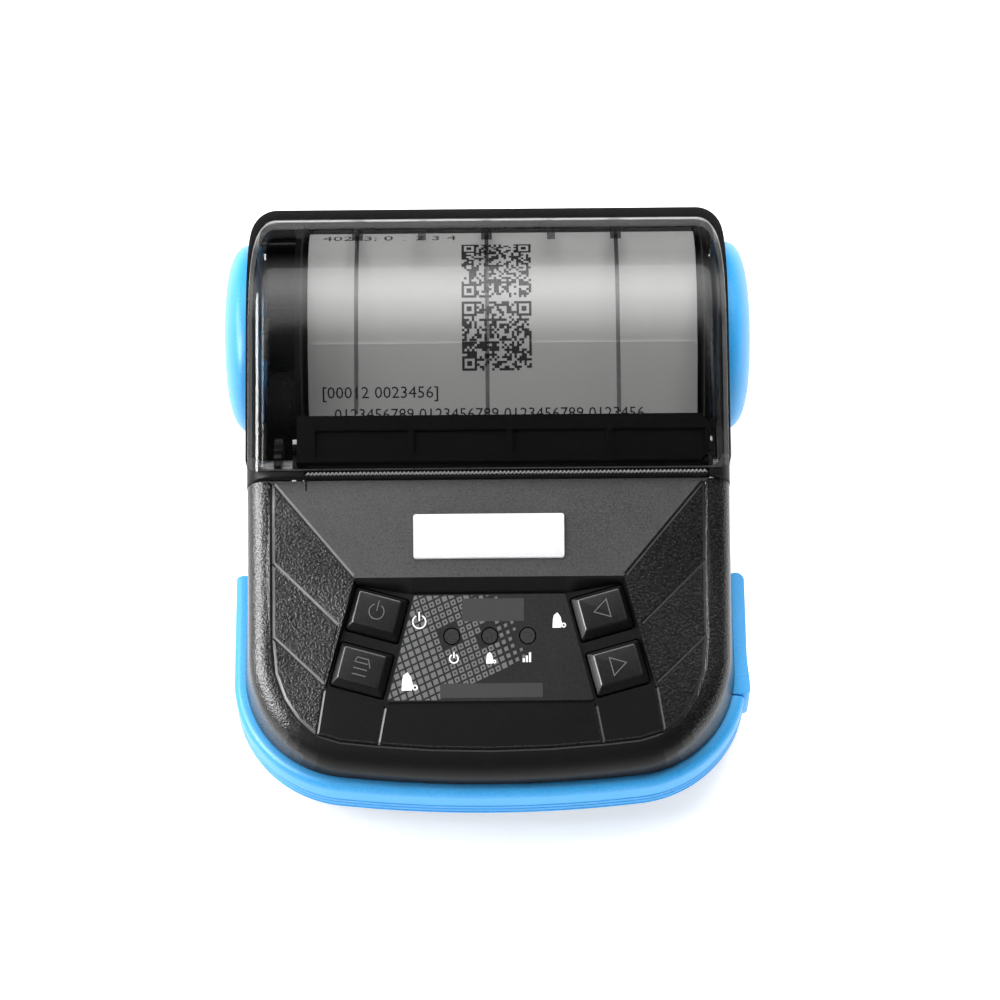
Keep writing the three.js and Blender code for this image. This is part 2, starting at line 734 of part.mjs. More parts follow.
function usbPort() {
  const bottom = portBoardTopZ + seatGap;
  const outer = block(
    usbInnerX, portFaceX, usbCentreY - usbHalfWidth, usbCentreY + usbHalfWidth, bottom, bottom + usbHeight,
  );
  const mouth = block(
    usbInnerX + usbShell, portFaceX + overrun,
    usbCentreY - usbHalfWidth + usbShell, usbCentreY + usbHalfWidth - usbShell,
    bottom + usbShell, bottom + usbHeight - usbShell,
  );
  const tongue = block(
    usbInnerX + usbShell / 2, portFaceX - usbShell * 2, usbCentreY - usbHalfWidth / 2, usbCentreY + usbHalfWidth / 2,
    bottom + usbHeight / 2 - usbShell / 2, bottom + usbHeight / 2 + usbShell,
  );
  return join([cut(outer, [mouth]), tongue]);
}

function portBoard() {
  const edge = portPostRadius / 2;
  return block(
    portPostX - 2 * portPostRadius, portFaceX, portWindowFrontY, portWindowRearY + edge,
    portBoardZ, portBoardTopZ,
  );
}

// Smoked cover
function coverProfile(inset, frontY) {
  const tangentAngle = 90 + THREE.MathUtils.radToDeg(coverAngle);
  const top = (y) => coverTopZ(y) - inset / Math.cos(coverAngle);
  return [
    [domeY + domeRadius - inset, coverRearZ],
    ...arc(domeY, domeZ, domeRadius - inset, 0, tangentAngle, 16),
    [frontY, top(frontY)], [frontY, coverRearZ],
  ];
}

function coverBlank(halfWidth, edgeRadius, inset, frontInset, bottomDrop) {
  const steps = 4;
  const stations = Array.from({ length: steps + 1 }, (_, i) => {
    const angle = (Math.PI / 2) * (i / steps);
    return [halfWidth - edgeRadius * (1 - Math.sin(angle)), edgeRadius * (1 - Math.cos(angle))];
  });
  const sides = [...stations].reverse();
  const rows = [...sides.map(([x, shift]) => [-x, shift]), ...stations];
  const rings = rows.map(([x, shift]) => coverProfile(inset + shift, coverFrontY + frontInset)
    .map(([y, z]) => [y, z - (z <= coverRearZ ? bottomDrop : 0), x]));
  const turned = skin(rings);
  const geometry = toGeometry(turned);
  geometry.applyMatrix4(new THREE.Matrix4().makeBasis(axisY, axisZ, axisX));
  return toSolid(geometry);
}

const toothPitch = 1.1;
const toothHeight = 0.8;
const tearBarInset = 0.2;
const tearBarExcess = 0.9;
const tearBarLeftX = paperLeftX + tearBarInset;
const tearBarRightX = paperRightX + tearBarExcess;
const tearBarGap = 0.3;
const tearBarFrontY = coverFrontY + tearBarGap;
const tearBarThickness = 0.5;
const tearBarBottomZ = 43.6;
const tearBarTipZ = 47.3;

const knuckleLeftX = [-(leverOuterX), bayLeftX - bayEndWall - seatGap];
const knuckleRightX = [bayRightX + bayEndWall + seatGap, cheekInnerX - seatGap];

function paperCover() {
  const outer = coverBlank(coverHalfWidth, coverEdgeRadius, 0, 0, 0);
  const inner = coverBlank(coverHalfWidth - wall, coverEdgeRadius - wall, wall, -overrun, overrun);
  const ribLimit = coverBlank(coverHalfWidth - wall, coverEdgeRadius - wall, wall + coverRibDepth, -overrun, 2 * overrun);
  const ribFrontY = bayFrontRibY();
  const ribRearY = domeY + domeRadius - wall / 2;
  const ribTopZ = domeZ + domeRadius - wall / 2;
  const ribs = [-coverRibX, 0, coverRibX].map((x) => cut(
    outer.intersect(block(
      x - coverRibWidth / 2, x + coverRibWidth / 2, ribFrontY, ribRearY, skirtBottomZ, ribTopZ,
    )),
    [ribLimit],
  ));
  const skirtCut = block(
    -coverHalfWidth - overrun, coverHalfWidth + overrun, coverFrontY - overrun, hingeY - wall,
    coverRearZ - overrun, skirtBottomZ,
  );
  const ringCut = bothSides(rodX(
    coverHalfWidth - overrun, coverHalfWidth + overrun, buttonY, buttonZ,
    buttonRadius + 2 * buttonRunGap + ringWidth, ringSteps,
  ));
  const barSlot = block(
    tearBarLeftX - seatGap, tearBarRightX + seatGap, coverFrontY - overrun,
    tearBarFrontY + tearBarThickness + seatGap, tearBarBottomZ - overrun, coverFrontZ + overrun,
  );
  const armPoints = [
    ...arc(hingeY, hingeZ, knuckleRadius, 180, 360, 10),
    [domeY + domeRadius - wall / 2, coverRearZ], [domeY + domeRadius - wall / 2, skirtBottomZ + wall],
    [domeY + domeRadius - 2 * wall, skirtBottomZ + 2 * wall],
  ];
  const arms = [knuckleLeftX, knuckleRightX].map(([x0, x1]) => alongX(armPoints, x0, x1));
  const pinHole = rodX(-cheekInnerX, cheekInnerX, hingeY, hingeZ, hingePinRadius + runGap);
  const shell = cut(outer, [inner, skirtCut, ringCut, barSlot]);
  return cut(join([shell, ...arms, ...ribs]), [pinHole]);
}

function hingePin(inner, outer) {
  return rodX(Math.min(inner, outer), Math.max(inner, outer), hingeY, hingeZ, hingePinRadius);
}

// Platen holder under the cover
const holderFrontY = -1;
const holderRearY = 8.2;
const holderThickness = 1.6;
const windowFrontY = 0.4;
const windowRearY = 5.3;
const windowCount = 4;
const windowDepth = 0.9;
const armMargin = 1.2;
const holderBarX = 1;
const holderLeftX = paperLeftX + wall / 2;
const holderExcess = 1.6;
const holderRightX = paperRightX + holderExcess;

function bayFrontRibY() {
  return holderRearY + wall;
}

const holderArmLeftX = paperLeftX - 2 * armThickness;
const holderArmRightX = paperRightX + armThickness / 2;

function platenHolder() {
  const under = aboveSurface(coverUnderZ, -seatGap - holderThickness);
  const top = aboveSurface(coverUnderZ, -seatGap);
  const corner = wall;
  const outline = [
    [holderArmLeftX, holderRearY], [holderArmLeftX, holderFrontY], [holderRightX - corner, holderFrontY],
    [holderRightX, holderFrontY + corner], [holderRightX, holderRearY - corner],
    [holderRightX - corner, holderRearY],
  ];
  const plate = slab(outline, under, top);
  const windowLeft = holderLeftX + 2 * holderBarX;
  const span = (holderRightX - holderLeftX - (windowCount + 1) * holderBarX) / windowCount;
  const windows = Array.from({ length: windowCount }, (_, i) => {
    const x0 = windowLeft + i * (span + holderBarX) - holderBarX;
    const corners = [
      [x0, windowRearY], [x0, windowFrontY], [x0 + span, windowFrontY], [x0 + span, windowRearY],
    ];
    return slab(corners, aboveSurface(coverUnderZ, -seatGap - windowDepth), aboveSurface(coverUnderZ, overrun));
  });
  const armTopZ = coverUnderZ(holderFrontY) - seatGap - holderThickness / 2;
  const armHalf = shaftRadius + armMargin;
  const armPoints = [
    ...arc(platenY, platenZ, armHalf, 180, 360, 12),
    [platenY + armHalf, armTopZ], [holderFrontY, armTopZ], [platenY - armHalf, platenZ + armHalf],
  ];
  const arms = [holderArmLeftX, holderArmRightX].map((x) => alongX(armPoints, x, x + armThickness));
  const shaftHole = rodX(-shaftHalfLength, shaftHalfLength, platenY, platenZ, shaftRadius + runGap);
  return cut(join([cut(plate, windows), ...arms]), [shaftHole]);
}

function tearBar() {
  const count = Math.floor((tearBarRightX - tearBarLeftX) / toothPitch);
  const valleyZ = tearBarTipZ - toothHeight;
  const start = (tearBarLeftX + tearBarRightX - count * toothPitch) / 2;
  const teeth = Array.from({ length: count }, (_, i) => [
    [start + i * toothPitch, valleyZ], [start + (i + 0.5) * toothPitch, tearBarTipZ],
  ]).flat();
  const outline = [
    [tearBarRightX, tearBarBottomZ], [tearBarRightX, valleyZ], [start + count * toothPitch, valleyZ],
    ...teeth.reverse(), [tearBarLeftX, valleyZ], [tearBarLeftX, tearBarBottomZ],
  ].filter(([x, z], i, list) => i === 0 || x !== list[i - 1][0] || z !== list[i - 1][1]);
  return alongY(outline, tearBarFrontY, tearBarFrontY + tearBarThickness);
}

// Platen, shaft, bushes and gears
const rollerOverhang = 0.3;
const frameArmLeftX = holderArmLeftX - seatGap - armThickness;
const frameArmRightX = holderArmRightX + armThickness + seatGap;
const pinionPlaneX = frameArmLeftX - seatGap - gearWidth;
const platenPlaneX = pinionPlaneX - seatGap - gearWidth;

function tube(x0, x1, y, z, outerRadius, innerRadius, steps = roundSteps) {
  return alongX(circle(y, z, outerRadius, steps), x0, x1, [circle(y, z, innerRadius, steps)]);
}

const toothTipShare = 0.22;
const toothRootShare = 0.5;
const addendumShare = 0.8;
const dedendumShare = 1.15;

function gearOutline(y, z, teeth, phase) {
  const pitchRadius = (gearModule * teeth) / 2;
  const tip = pitchRadius + gearModule * addendumShare;
  const root = pitchRadius - gearModule * dedendumShare;
  const step = (2 * Math.PI) / teeth;
  return Array.from({ length: teeth }, (_, i) => {
    const middle = THREE.MathUtils.degToRad(phase) + i * step;
    return [
      [root, -toothRootShare / 2], [tip, -toothTipShare / 2], [tip, toothTipShare / 2], [root, toothRootShare / 2],
    ].map(([radius, share]) => [
      y + radius * Math.cos(middle + share * step), z + radius * Math.sin(middle + share * step),
    ]);
  }).flat();
}

function along(y, z, distance, angle) {
  const turn = THREE.MathUtils.degToRad(angle);
  return [y + distance * Math.cos(turn), z + distance * Math.sin(turn)];
}

const idlerDistance = (gearModule * (platenTeeth + idlerSmallTeeth)) / 2;
const pinionDistance = (gearModule * (idlerLargeTeeth + pinionTeeth)) / 2;
const [idlerY, idlerZ] = along(platenY, platenZ, idlerDistance, idlerAngle);
const [pinionY, pinionZ] = along(idlerY, idlerZ, pinionDistance, pinionAngle);
const studRadius = 1.2;
const motorShaftRadius = 1;

function platenGear() {
  return alongX(
    gearOutline(platenY, platenZ, platenTeeth, idlerAngle), platenPlaneX, platenPlaneX + gearWidth,
    [circle(platenY, platenZ, shaftRadius + runGap)],
  );
}

function reductionGear() {
  const smallPhase = idlerAngle + 180 + 180 / idlerSmallTeeth;
  const bore = rodX(platenPlaneX - overrun, pinionPlaneX + overrun, idlerY, idlerZ, studRadius + runGap, 16);
  const small = alongX(
    gearOutline(idlerY, idlerZ, idlerSmallTeeth, smallPhase), platenPlaneX, pinionPlaneX + gearWidth / 2,
  );
  const large = alongX(
    gearOutline(idlerY, idlerZ, idlerLargeTeeth, pinionAngle), pinionPlaneX, pinionPlaneX + gearWidth,
  );
  return cut(join([small, large]), [bore]);
}

const motorFaceX = frameArmLeftX + armThickness + seatGap;

function motorPinion() {
  const phase = pinionAngle + 180 + 180 / pinionTeeth;
  const gear = alongX(gearOutline(pinionY, pinionZ, pinionTeeth, phase), pinionPlaneX, pinionPlaneX + gearWidth);
  const shaft = rodX(
    pinionPlaneX + gearWidth / 2, motorFaceX + 2 * wall, pinionY, pinionZ, motorShaftRadius, 12,
  );
  return join([gear, shaft]);
}

function stepperMotor() {
  const can = rodX(motorFaceX, motorFaceX + motorLength, pinionY, pinionZ, motorRadius, 28);
  const bore = rodX(
    motorFaceX - overrun, motorFaceX + 2 * wall + seatGap, pinionY, pinionZ, motorShaftRadius + runGap, 12,
  );
  return cut(can, [bore]);
}

function gearStud() {
  return rodX(platenPlaneX - seatGap, frameArmLeftX + armThickness, idlerY, idlerZ, studRadius, 16);
}

// Sheet-metal frame of the print mechanism
const frameFrontY = -18;
const frameRearY = 6;
const frameFloorZ = bayFrontTopZ + seatGap;
const frameFloorThickness = 1.2;
const frameFloorFrontY = pinionY + motorRadius + seatGap;
const frameWallY = -15;
const frameWallBottomZ = 31.5;
const frameWallTopZ = 35.5;

function frameArm(x, withDrive) {
  const slotRadius = bushRadius + buttonRunGap;
  const topZ = deckZ(frameWallY) - wall - seatGap;
  const slotTopZ = platenZ + slotRadius;
  const frontZ = ceilingZ(frameFrontY) - seatGap;
  const outline = [
    [frameRearY, frameFloorZ], [frameRearY, slotTopZ], [deckRearY - seatGap, slotTopZ],
    [frameWallY, Math.min(topZ, slotTopZ) - wall], [frameFrontY, frontZ - wall], [frameFrontY, frameFloorZ],
  ].reverse();
  const slot = [
    ...arc(platenY, platenZ, slotRadius, 180, 360, 12),
    [platenY + slotRadius + wall, slotTopZ + overrun], [platenY - slotRadius, slotTopZ + overrun],
  ];
  const holes = [alongX(slot, x - overrun, x + overrun)];
  if (withDrive) {
    holes.push(rodX(x - overrun, x + overrun, idlerY, idlerZ, studRadius + runGap, 16));
    holes.push(rodX(x - overrun, x + overrun, pinionY, pinionZ, motorShaftRadius + seatGap, 12));
  }
  const plate = withDrive
    ? join([alongX(outline, x, x + armThickness), rodX(x, x + armThickness, pinionY, pinionZ, motorRadius - wall)])
    : alongX(outline, x, x + armThickness);
  return cut(plate, holes);
}

function mechanismFrame() {
  const floor = block(
    frameArmLeftX + armThickness / 2, frameArmRightX + armThickness / 2, frameFloorFrontY, frameRearY,
    frameFloorZ, frameFloorZ + frameFloorThickness,
  );
  const springWall = block(
    frameArmLeftX + armThickness / 2, frameArmRightX + armThickness / 2, frameWallY, frameWallY + frameFloorThickness,
    frameWallBottomZ, frameWallTopZ,
  );
  return join([frameArm(frameArmLeftX, true), frameArm(frameArmRightX, false), floor, springWall]);
}

// Paper path
const webY = platenY - platenRadius - platenNip();
const pathRadius = 10;
const pathCentreY = webY + pathRadius;

function platenNip() {
  return webThickness + runGap / 2;
}

const webRollRadius = rollRadius + seatGap;
const webPathAngle = -52;
const [webTangentY, webTangentZ] = along(rollY, rollZ, webRollRadius, 180 + webPathAngle);

function pathCentreZ() {
  const normalY = Math.cos(THREE.MathUtils.degToRad(180 + webPathAngle));
  const normalZ = Math.sin(THREE.MathUtils.degToRad(180 + webPathAngle));
  return webTangentZ + (pathRadius - normalY * (pathCentreY - webTangentY)) / normalZ;
}

function strip(path, thickness, x0, x1) {
  const offset = (side) => path.map(([y, z], i) => {
    const [beforeY, beforeZ] = path[Math.max(i - 1, 0)];
    const [afterY, afterZ] = path[Math.min(i + 1, path.length - 1)];
    const length = Math.hypot(afterY - beforeY, afterZ - beforeZ);
    const reach = (side * thickness) / 2;
    return [y - (reach * (afterZ - beforeZ)) / length, z + (reach * (afterY - beforeY)) / length];
  });
  const outline = [...offset(1), ...offset(-1).reverse()];
  return alongX(THREE.ShapeUtils.isClockWise(outline.map(([y, z]) => new THREE.Vector2(y, z)))
    ? outline.reverse() : outline, x0, x1);
}

function paperWeb() {
  const path = [
    [webTangentY, webTangentZ],
    ...arc(pathCentreY, pathCentreZ(), pathRadius, webPathAngle, -180, 12),
    [webY, tearBarBottomZ],
  ];
  return strip(path, webThickness, paperLeftX, paperRightX);
}

const guideThickness = 0.8;
const guideStartAngle = -46;
const guideEndAngle = -150;

function paperGuide() {
  const radius = pathRadius + webThickness + 2 * seatGap;
  const path = arc(pathCentreY, pathCentreZ(), radius, guideStartAngle, guideEndAngle, 12);
  return strip(path, guideThickness, paperLeftX - seatGap, paperRightX + seatGap);
}

function paperRoll() {
  return tube(paperLeftX, paperRightX, rollY, rollZ, rollRadius, coreRadius + seatGap, ringSteps + 4);
}

function paperCore() {
  return tube(paperLeftX, paperRightX, rollY, rollZ, coreRadius, coreRadius - coreWall, roundSteps + 4);
}

// Plates beside the roll, the left one with a boss behind the release button
const guideInset = 0.6;
const guideRadius = bayRadius - guideInset;

function sideGuide(x0, x1) {
  const disc = alongX(circle(domeY, domeZ, guideRadius, ringSteps), x0, x1);
  const cutters = [
    block(x0 - overrun, x1 + overrun, -domeY, domeY + domeRadius, -overrun, shellBottomZ),
    rodX(x0 - overrun, x1 + overrun, hingeY, hingeZ, knuckleRadius + wall),
    block(
      x0 - overrun, x1 + overrun, -overrun, domeY / 2 + seatGap,
      -overrun, bayFrontTopZ + frameFloorThickness + 3 * seatGap,
    ),
  ];
  return cut(disc, cutters);
}

const springSeatX = bayRightX + bayEndWall;
const bossRadius = 7;

function sideGuideLeft() {
  const x0 = bayLeftX - bayEndWall;
  const boss = rodX(-springSeatX, x0 + bayEndWall / 2, buttonY, buttonZ, bossRadius, 20);
  return join([sideGuide(x0, bayLeftX), boss]);
}

function sideGuideRight() {
  return sideGuide(bayRightX, bayRightX + bayEndWall);
}

// Release button: a domed cap with a hollow back, its crown given as shares of radius and rise
const crownShares = [[0.96, 0.34], [0.88, 0.65], [0.72, 0.87], [0.4, 0.98], [0, 1]];

function releaseButton() {
  const crown = buttonReachX - buttonRimX;
  const profile = [
    [0, buttonBackX + buttonShell], [buttonRadius - buttonShell, buttonBackX + buttonShell],
    [buttonRadius - buttonShell, buttonBackX],
    [buttonRadius, buttonBackX], [buttonRadius, buttonRimX],
    ...crownShares.map(([radiusShare, riseShare]) => [buttonRadius * radiusShare, buttonRimX + crown * riseShare]),
  ].map(([r, x]) => new THREE.Vector2(r, x));
  const geometry = new THREE.LatheGeometry(profile, ringSteps);
  geometry.applyMatrix4(new THREE.Matrix4().makeBasis(axisY, axisX, axisZ.clone().negate()));
  geometry.translate(0, buttonY, buttonZ);
  const solid = toSolid(geometry);
  return solid.volume() < 0 ? mirrored(solid) : solid;
}

// Springs: one wire in even turns, with a five-sided section
function coilSpring(start, direction, length, coilRadius, wireRadius, turns) {
  const steps = turns * 8;
  const centre = new THREE.CatmullRomCurve3(Array.from({ length: steps + 1 }, (_, i) => {
    const angle = (2 * Math.PI * i) / 8;
    const travel = wireRadius + ((length - 2 * wireRadius) * i) / steps;
    const [a, b] = [coilRadius * Math.cos(angle), coilRadius * Math.sin(angle)];
    return direction === 'x'
      ? new THREE.Vector3(start.x + travel, start.y + a, start.z + b)
      : new THREE.Vector3(start.x + a, start.y + travel, start.z + b);
  }));
  const section = shapeOf(circle(0, 0, wireRadius, 5));
  return toSolid(new THREE.ExtrudeGeometry(section, { steps, extrudePath: centre, bevelEnabled: false }));
}

// Print head and heat sink
const headMargin = 0.5;
const headBottomZ = 32;
const headTopZ = 40;
const headThickness = 1.2;
const sinkThickness = 2.6;
const headRearY = webY - webThickness / 2 - runGap;
const sinkRearY = headRearY - headThickness - seatGap;
const sinkFrontY = sinkRearY - sinkThickness;

function printHead() {
  return block(
    paperLeftX - headMargin, paperRightX + headMargin, headRearY - headThickness, headRearY, headBottomZ, headTopZ,
  );
}

const finCount = 8;
const finPitch = (paperWidth - sinkThickness) / (finCount - 1);

function headHeatSink() {
  const base = block(paperLeftX, paperRightX, sinkFrontY + sinkThickness / 2, sinkRearY, headBottomZ, headTopZ);
  const fins = Array.from({ length: finCount }, (_, i) => block(
    paperLeftX + i * finPitch, paperLeftX + i * finPitch + sinkThickness, sinkFrontY, sinkRearY - seatGap,
    headBottomZ, headTopZ,
  ));
  return join([base, ...fins]);
}

function betweenFins(i) {
  return paperLeftX + (i + 0.5) * finPitch + sinkThickness / 2;
}

const headSpringRadius = 1.6;
const headSpringWire = 0.3;
const headSpringZ = (frameWallBottomZ + frameWallTopZ) / 2;

function headSpring(x) {
  const startY = frameWallY + frameFloorThickness + seatGap;
  const length = sinkFrontY + sinkThickness / 2 - seatGap - startY;
  return coilSpring(new THREE.Vector3(x, startY, headSpringZ), 'y', length, headSpringRadius, headSpringWire, 4);
}

const buttonSpringRadius = 4.5;
const buttonSpringWire = 0.35;

function buttonSpring() {
  const start = new THREE.Vector3(springSeatX + seatGap, buttonY, buttonZ);
  const length = buttonBackX + buttonShell - buttonTravel - seatGap / 2 - start.x;
  return coilSpring(start, 'x', length, buttonSpringRadius, buttonSpringWire, 2);
}

function latchLever() {
  const noseY = platenY - shaftRadius + seatGap;
  const noseZ = platenZ + shaftRadius + 2 * seatGap;
  const backY = platenY - shaftRadius - wall;
  const tailY = buttonY - buttonRadius - 2 * seatGap;
  const outline = [
    [noseY, noseZ], [noseY - wall / 2, noseZ + wall], [backY - wall / 2, noseZ + wall], [backY - wall, platenZ],
    [backY, platenZ - shaftRadius - 2 * wall], [leverPivotY - wall, leverPivotZ - wall * 1.2],
    [tailY, leverPivotZ - wall], [tailY, leverPivotZ + wall / 2], [leverPivotY + wall, leverPivotZ + wall],
    [leverPivotY - wall, leverPivotZ + wall * 1.4], [platenY, platenZ - shaftRadius - wall],
    [backY + wall / 2, platenZ - shaftRadius / 2], [backY + wall / 2, noseZ],
  ];
  return cut(
    alongX(outline, leverInnerX, leverOuterX),
    [rodX(leverInnerX - overrun, leverOuterX + overrun, leverPivotY, leverPivotZ, leverPinRadius + runGap)],
  );
}

function gearCover() {
  const x1 = platenPlaneX - 2 * seatGap;
  const x0 = x1 - armThickness;
  const topZ = platenZ - shaftRadius - 2 * seatGap;
  const outline = [
    [frameFrontY, frameFloorZ], [frameRearY - wall, frameFloorZ], [frameRearY - wall, topZ], [frameFrontY + wall, topZ],
    [frameFrontY, topZ - wall],
  ];
  return alongX(outline, x0, x1);
}

// Boards, switches, keys and lamps
function mainBoard() {
  const outline = [
    [-boardHalfWidth, boardRearY], [-boardHalfWidth, boardFrontY], [boardHalfWidth, boardFrontY],
    [boardHalfWidth, boardRearY],
  ];
  return slab(outline, aboveSurface(panelZ, -boardDepth - boardThickness), aboveSurface(panelZ, -boardDepth));
}

const keyFlangeBottom = -3;
const keyFlangeTop = -2.3;
const keyFlangeGrow = 0.9;
const keyStraight = 0.5;
const keyTravel = 0.6;
const switchHalf = 3;
const switchBody = 1.7;
const switchStemRadius = 1.6;

function keyCap([x, y, turn]) {
  const ring = (grow, rise) => keyOutline(x, y, turn, grow).map(([u, v]) => [u, v, panelZ(v) + rise]);
  return skin([
    ring(keyFlangeGrow, keyFlangeBottom), ring(keyFlangeGrow, keyFlangeTop), ring(0, keyFlangeTop + runGap / 2),
    ring(0, keyStraight), ring(-keyTopInset, keyRise),
  ]);
}

function tactSwitch([x, y]) {
  const outline = [
    [x - switchHalf, y + switchHalf], [x - switchHalf, y - switchHalf], [x + switchHalf, y - switchHalf],
    [x + switchHalf, y + switchHalf],
  ];
  const bottom = -boardDepth + seatGap;
  const body = slab(outline, aboveSurface(panelZ, bottom), aboveSurface(panelZ, bottom + switchBody));
  const stem = slab(
    circle(x, y, switchStemRadius, 12), aboveSurface(panelZ, bottom + switchBody / 2),
    aboveSurface(panelZ, keyFlangeBottom - keyTravel - seatGap),
  );
  return join([body, stem]);
}

const sheetThickness = 0.3;

function lamp(x) {
  return slab(
    circle(x, lampY, lampRadius, 16), aboveSurface(panelZ, -boardDepth + seatGap),
    aboveSurface(panelZ, seatGap + sheetThickness),
  );
}

function panelSheet() {
  const margin = seatGap;
  const outline = [
    [-panelRearHalf + margin, panelRearY - margin], [-panelFrontHalf + margin, panelFrontY + margin],
    [panelFrontHalf - margin, panelFrontY + margin], [panelRearHalf - margin, panelRearY - margin],
  ];
  const sheet = slab(outline, aboveSurface(panelZ, seatGap), aboveSurface(panelZ, seatGap + sheetThickness));
  return cut(sheet, Object.values(lampPlaces).map((x) => rodZ(
    x, lampY, panelFrontZ, creaseZ, lampRadius + seatGap,
  )));
}

const labelHalfWidth = 15.1;
const labelRearY = -11.1;
const labelFrontY = -19.05;
const labelCorner = 0.5;

function blankLabel() {
  const corners = [
    [-labelHalfWidth, labelRearY, 1, -1, 90, 180], [-labelHalfWidth, labelFrontY, 1, 1, 180, 270],
    [labelHalfWidth, labelFrontY, -1, 1, 270, 360], [labelHalfWidth, labelRearY, -1, -1, 0, 90],
  ];
  const outline = corners.flatMap(([x, y, inX, inY, from, to]) => arc(
    x + inX * labelCorner, y + inY * labelCorner, labelCorner, from, to, 3,
  ));
  return slab(outline, aboveSurface(deckZ, seatGap), aboveSurface(deckZ, seatGap + sheetThickness));
}

const batteryBevel = 1;

function batteryPack() {
  const bevel = batteryBevel;
  const shape = shapeOf([
    [-batteryHalfWidth + bevel, batteryFrontY + bevel], [batteryHalfWidth - bevel, batteryFrontY + bevel],
    [batteryHalfWidth - bevel, batteryRearY - bevel], [-batteryHalfWidth + bevel, batteryRearY - bevel],
  ]);
  const geometry = new THREE.ExtrudeGeometry(shape, {
    depth: batteryTopZ - batteryBottomZ - 2 * bevel, bevelThickness: bevel, bevelSize: bevel, bevelSegments: 2,
  });
  geometry.translate(0, 0, batteryBottomZ + bevel);
  return toSolid(geometry);
}

const cableLeftX = 0;
const cableRightX = 20;
const cableThickness = 0.3;

function headCable() {
  const boardEndZ = panelZ(boardRearY) - boardDepth - boardThickness / 2;
  const path = [
    [boardRearY + seatGap, boardEndZ], [boardRearY + 2 * wall, boardEndZ],
    [frameFrontY + 2 * wall, headBottomZ - 2 * wall],
    [sinkFrontY, headBottomZ - wall], [headRearY - headThickness / 2, headBottomZ - wall / 2],
    [headRearY - headThickness / 2, headBottomZ - seatGap],
  ];
  return strip(path, cableThickness, cableLeftX, cableRightX);
}

// The assembly
const printer = new THREE.Group();
printer.name = 'portable_thermal_printer';

function add(name, solid, material) {
  const mesh = new THREE.Mesh(toGeometry(solid), material);
  mesh.name = name;
  printer.add(mesh);
}

add('top_housing', topHousing(), blackPlastic);
add('bottom_housing', bottomHousing(), blackPlastic);
add('bumper_band', bumperBand(), bluePlastic);
add('port_flap', portFlap(), bluePlastic);
add('usb_port', usbPort(), steel);
add('dc_jack', dcJack(), blackPlastic);
add('port_board', portBoard(), greenBoard);
add('release_button_left', mirrored(releaseButton()), bluePlastic);
add('release_button_right', releaseButton(), bluePlastic);
add('button_spring_left', mirrored(buttonSpring()), steel);
add('button_spring_right', buttonSpring(), steel);
add('latch_lever_left', mirrored(latchLever()), whiteNylon);
add('latch_lever_right', latchLever(), whiteNylon);
add('paper_cover', paperCover(), smokedCover);
add('hinge_pin_left', hingePin(bayLeftX - runGap * 2, -bodyHalfWidth + seatGap), steel);
add('hinge_pin_right', hingePin(bayRightX + runGap * 2, bodyHalfWidth - seatGap), steel);
add('platen_holder', platenHolder(), blackPlastic);
add('tear_bar', tearBar(), blackPlastic);
add('platen_roller', tube(
  paperLeftX - rollerOverhang, paperRightX + rollerOverhang / 2, platenY, platenZ, platenRadius,
  shaftRadius + runGap, 32,
), blackRubber);
add('platen_shaft', rodX(-shaftHalfLength, shaftHalfLength, platenY, platenZ, shaftRadius), steel);
add('platen_gear', platenGear(), whiteNylon);
add('platen_bush_left', tube(
  frameArmLeftX, frameArmLeftX + armThickness, platenY, platenZ, bushRadius, shaftRadius + runGap,
), whiteNylon);
add('platen_bush_right', tube(
  frameArmRightX, frameArmRightX + armThickness, platenY, platenZ, bushRadius, shaftRadius + runGap,
), whiteNylon);
add('side_guide_left', sideGuideLeft(), blackPlastic);
add('side_guide_right', sideGuideRight(), blackPlastic);
add('paper_guide', paperGuide(), blackPlastic);
add('print_head', printHead(), ceramic);
add('head_heat_sink', headHeatSink(), aluminium);
add('head_spring_left', headSpring(betweenFins(1)), steel);
add('head_spring_right', headSpring(betweenFins(finCount - 3)), steel);
add('mechanism_frame', mechanismFrame(), steel);
add('stepper_motor', stepperMotor(), steel);
add('motor_pinion', motorPinion(), steel);
add('reduction_gear', reductionGear(), whiteNylon);
add('gear_stud', gearStud(), steel);
add('gear_cover', gearCover(), blackPlastic);
add('paper_roll', paperRoll(), paperWhite);
add('paper_core', paperCore(), cardBrown);
add('paper_web', paperWeb(), paperWhite);
add('main_board', mainBoard(), greenBoard);
Object.entries(keyPlaces).forEach(([name, place]) => {
  add(name, keyCap(place), blackPlastic);
  add(name.replace('key', 'switch'), tactSwitch(place), blackPlastic);
});
Object.entries(lampPlaces).forEach(([name, x]) => add(name, lamp(x), clearPipe));
add('panel_sheet', panelSheet(), panelPrint);
add('blank_label', blankLabel(), whiteLabel);
add('battery_pack', batteryPack(), blackPlastic);
add('head_cable', headCable(), whiteNylon);
screwPlaces.forEach((place, i) => add(`case_screw_${i + 1}`, caseScrew(place), steel));

export default printer;
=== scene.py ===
# Looks of a portable thermal printer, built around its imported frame.
# Points are worked out in millimetres and each finished mesh is scaled to metres.

import math
import random

import bmesh
import bpy
from mathutils import Matrix, Vector
from mathutils.geometry import delaunay_2d_cdt


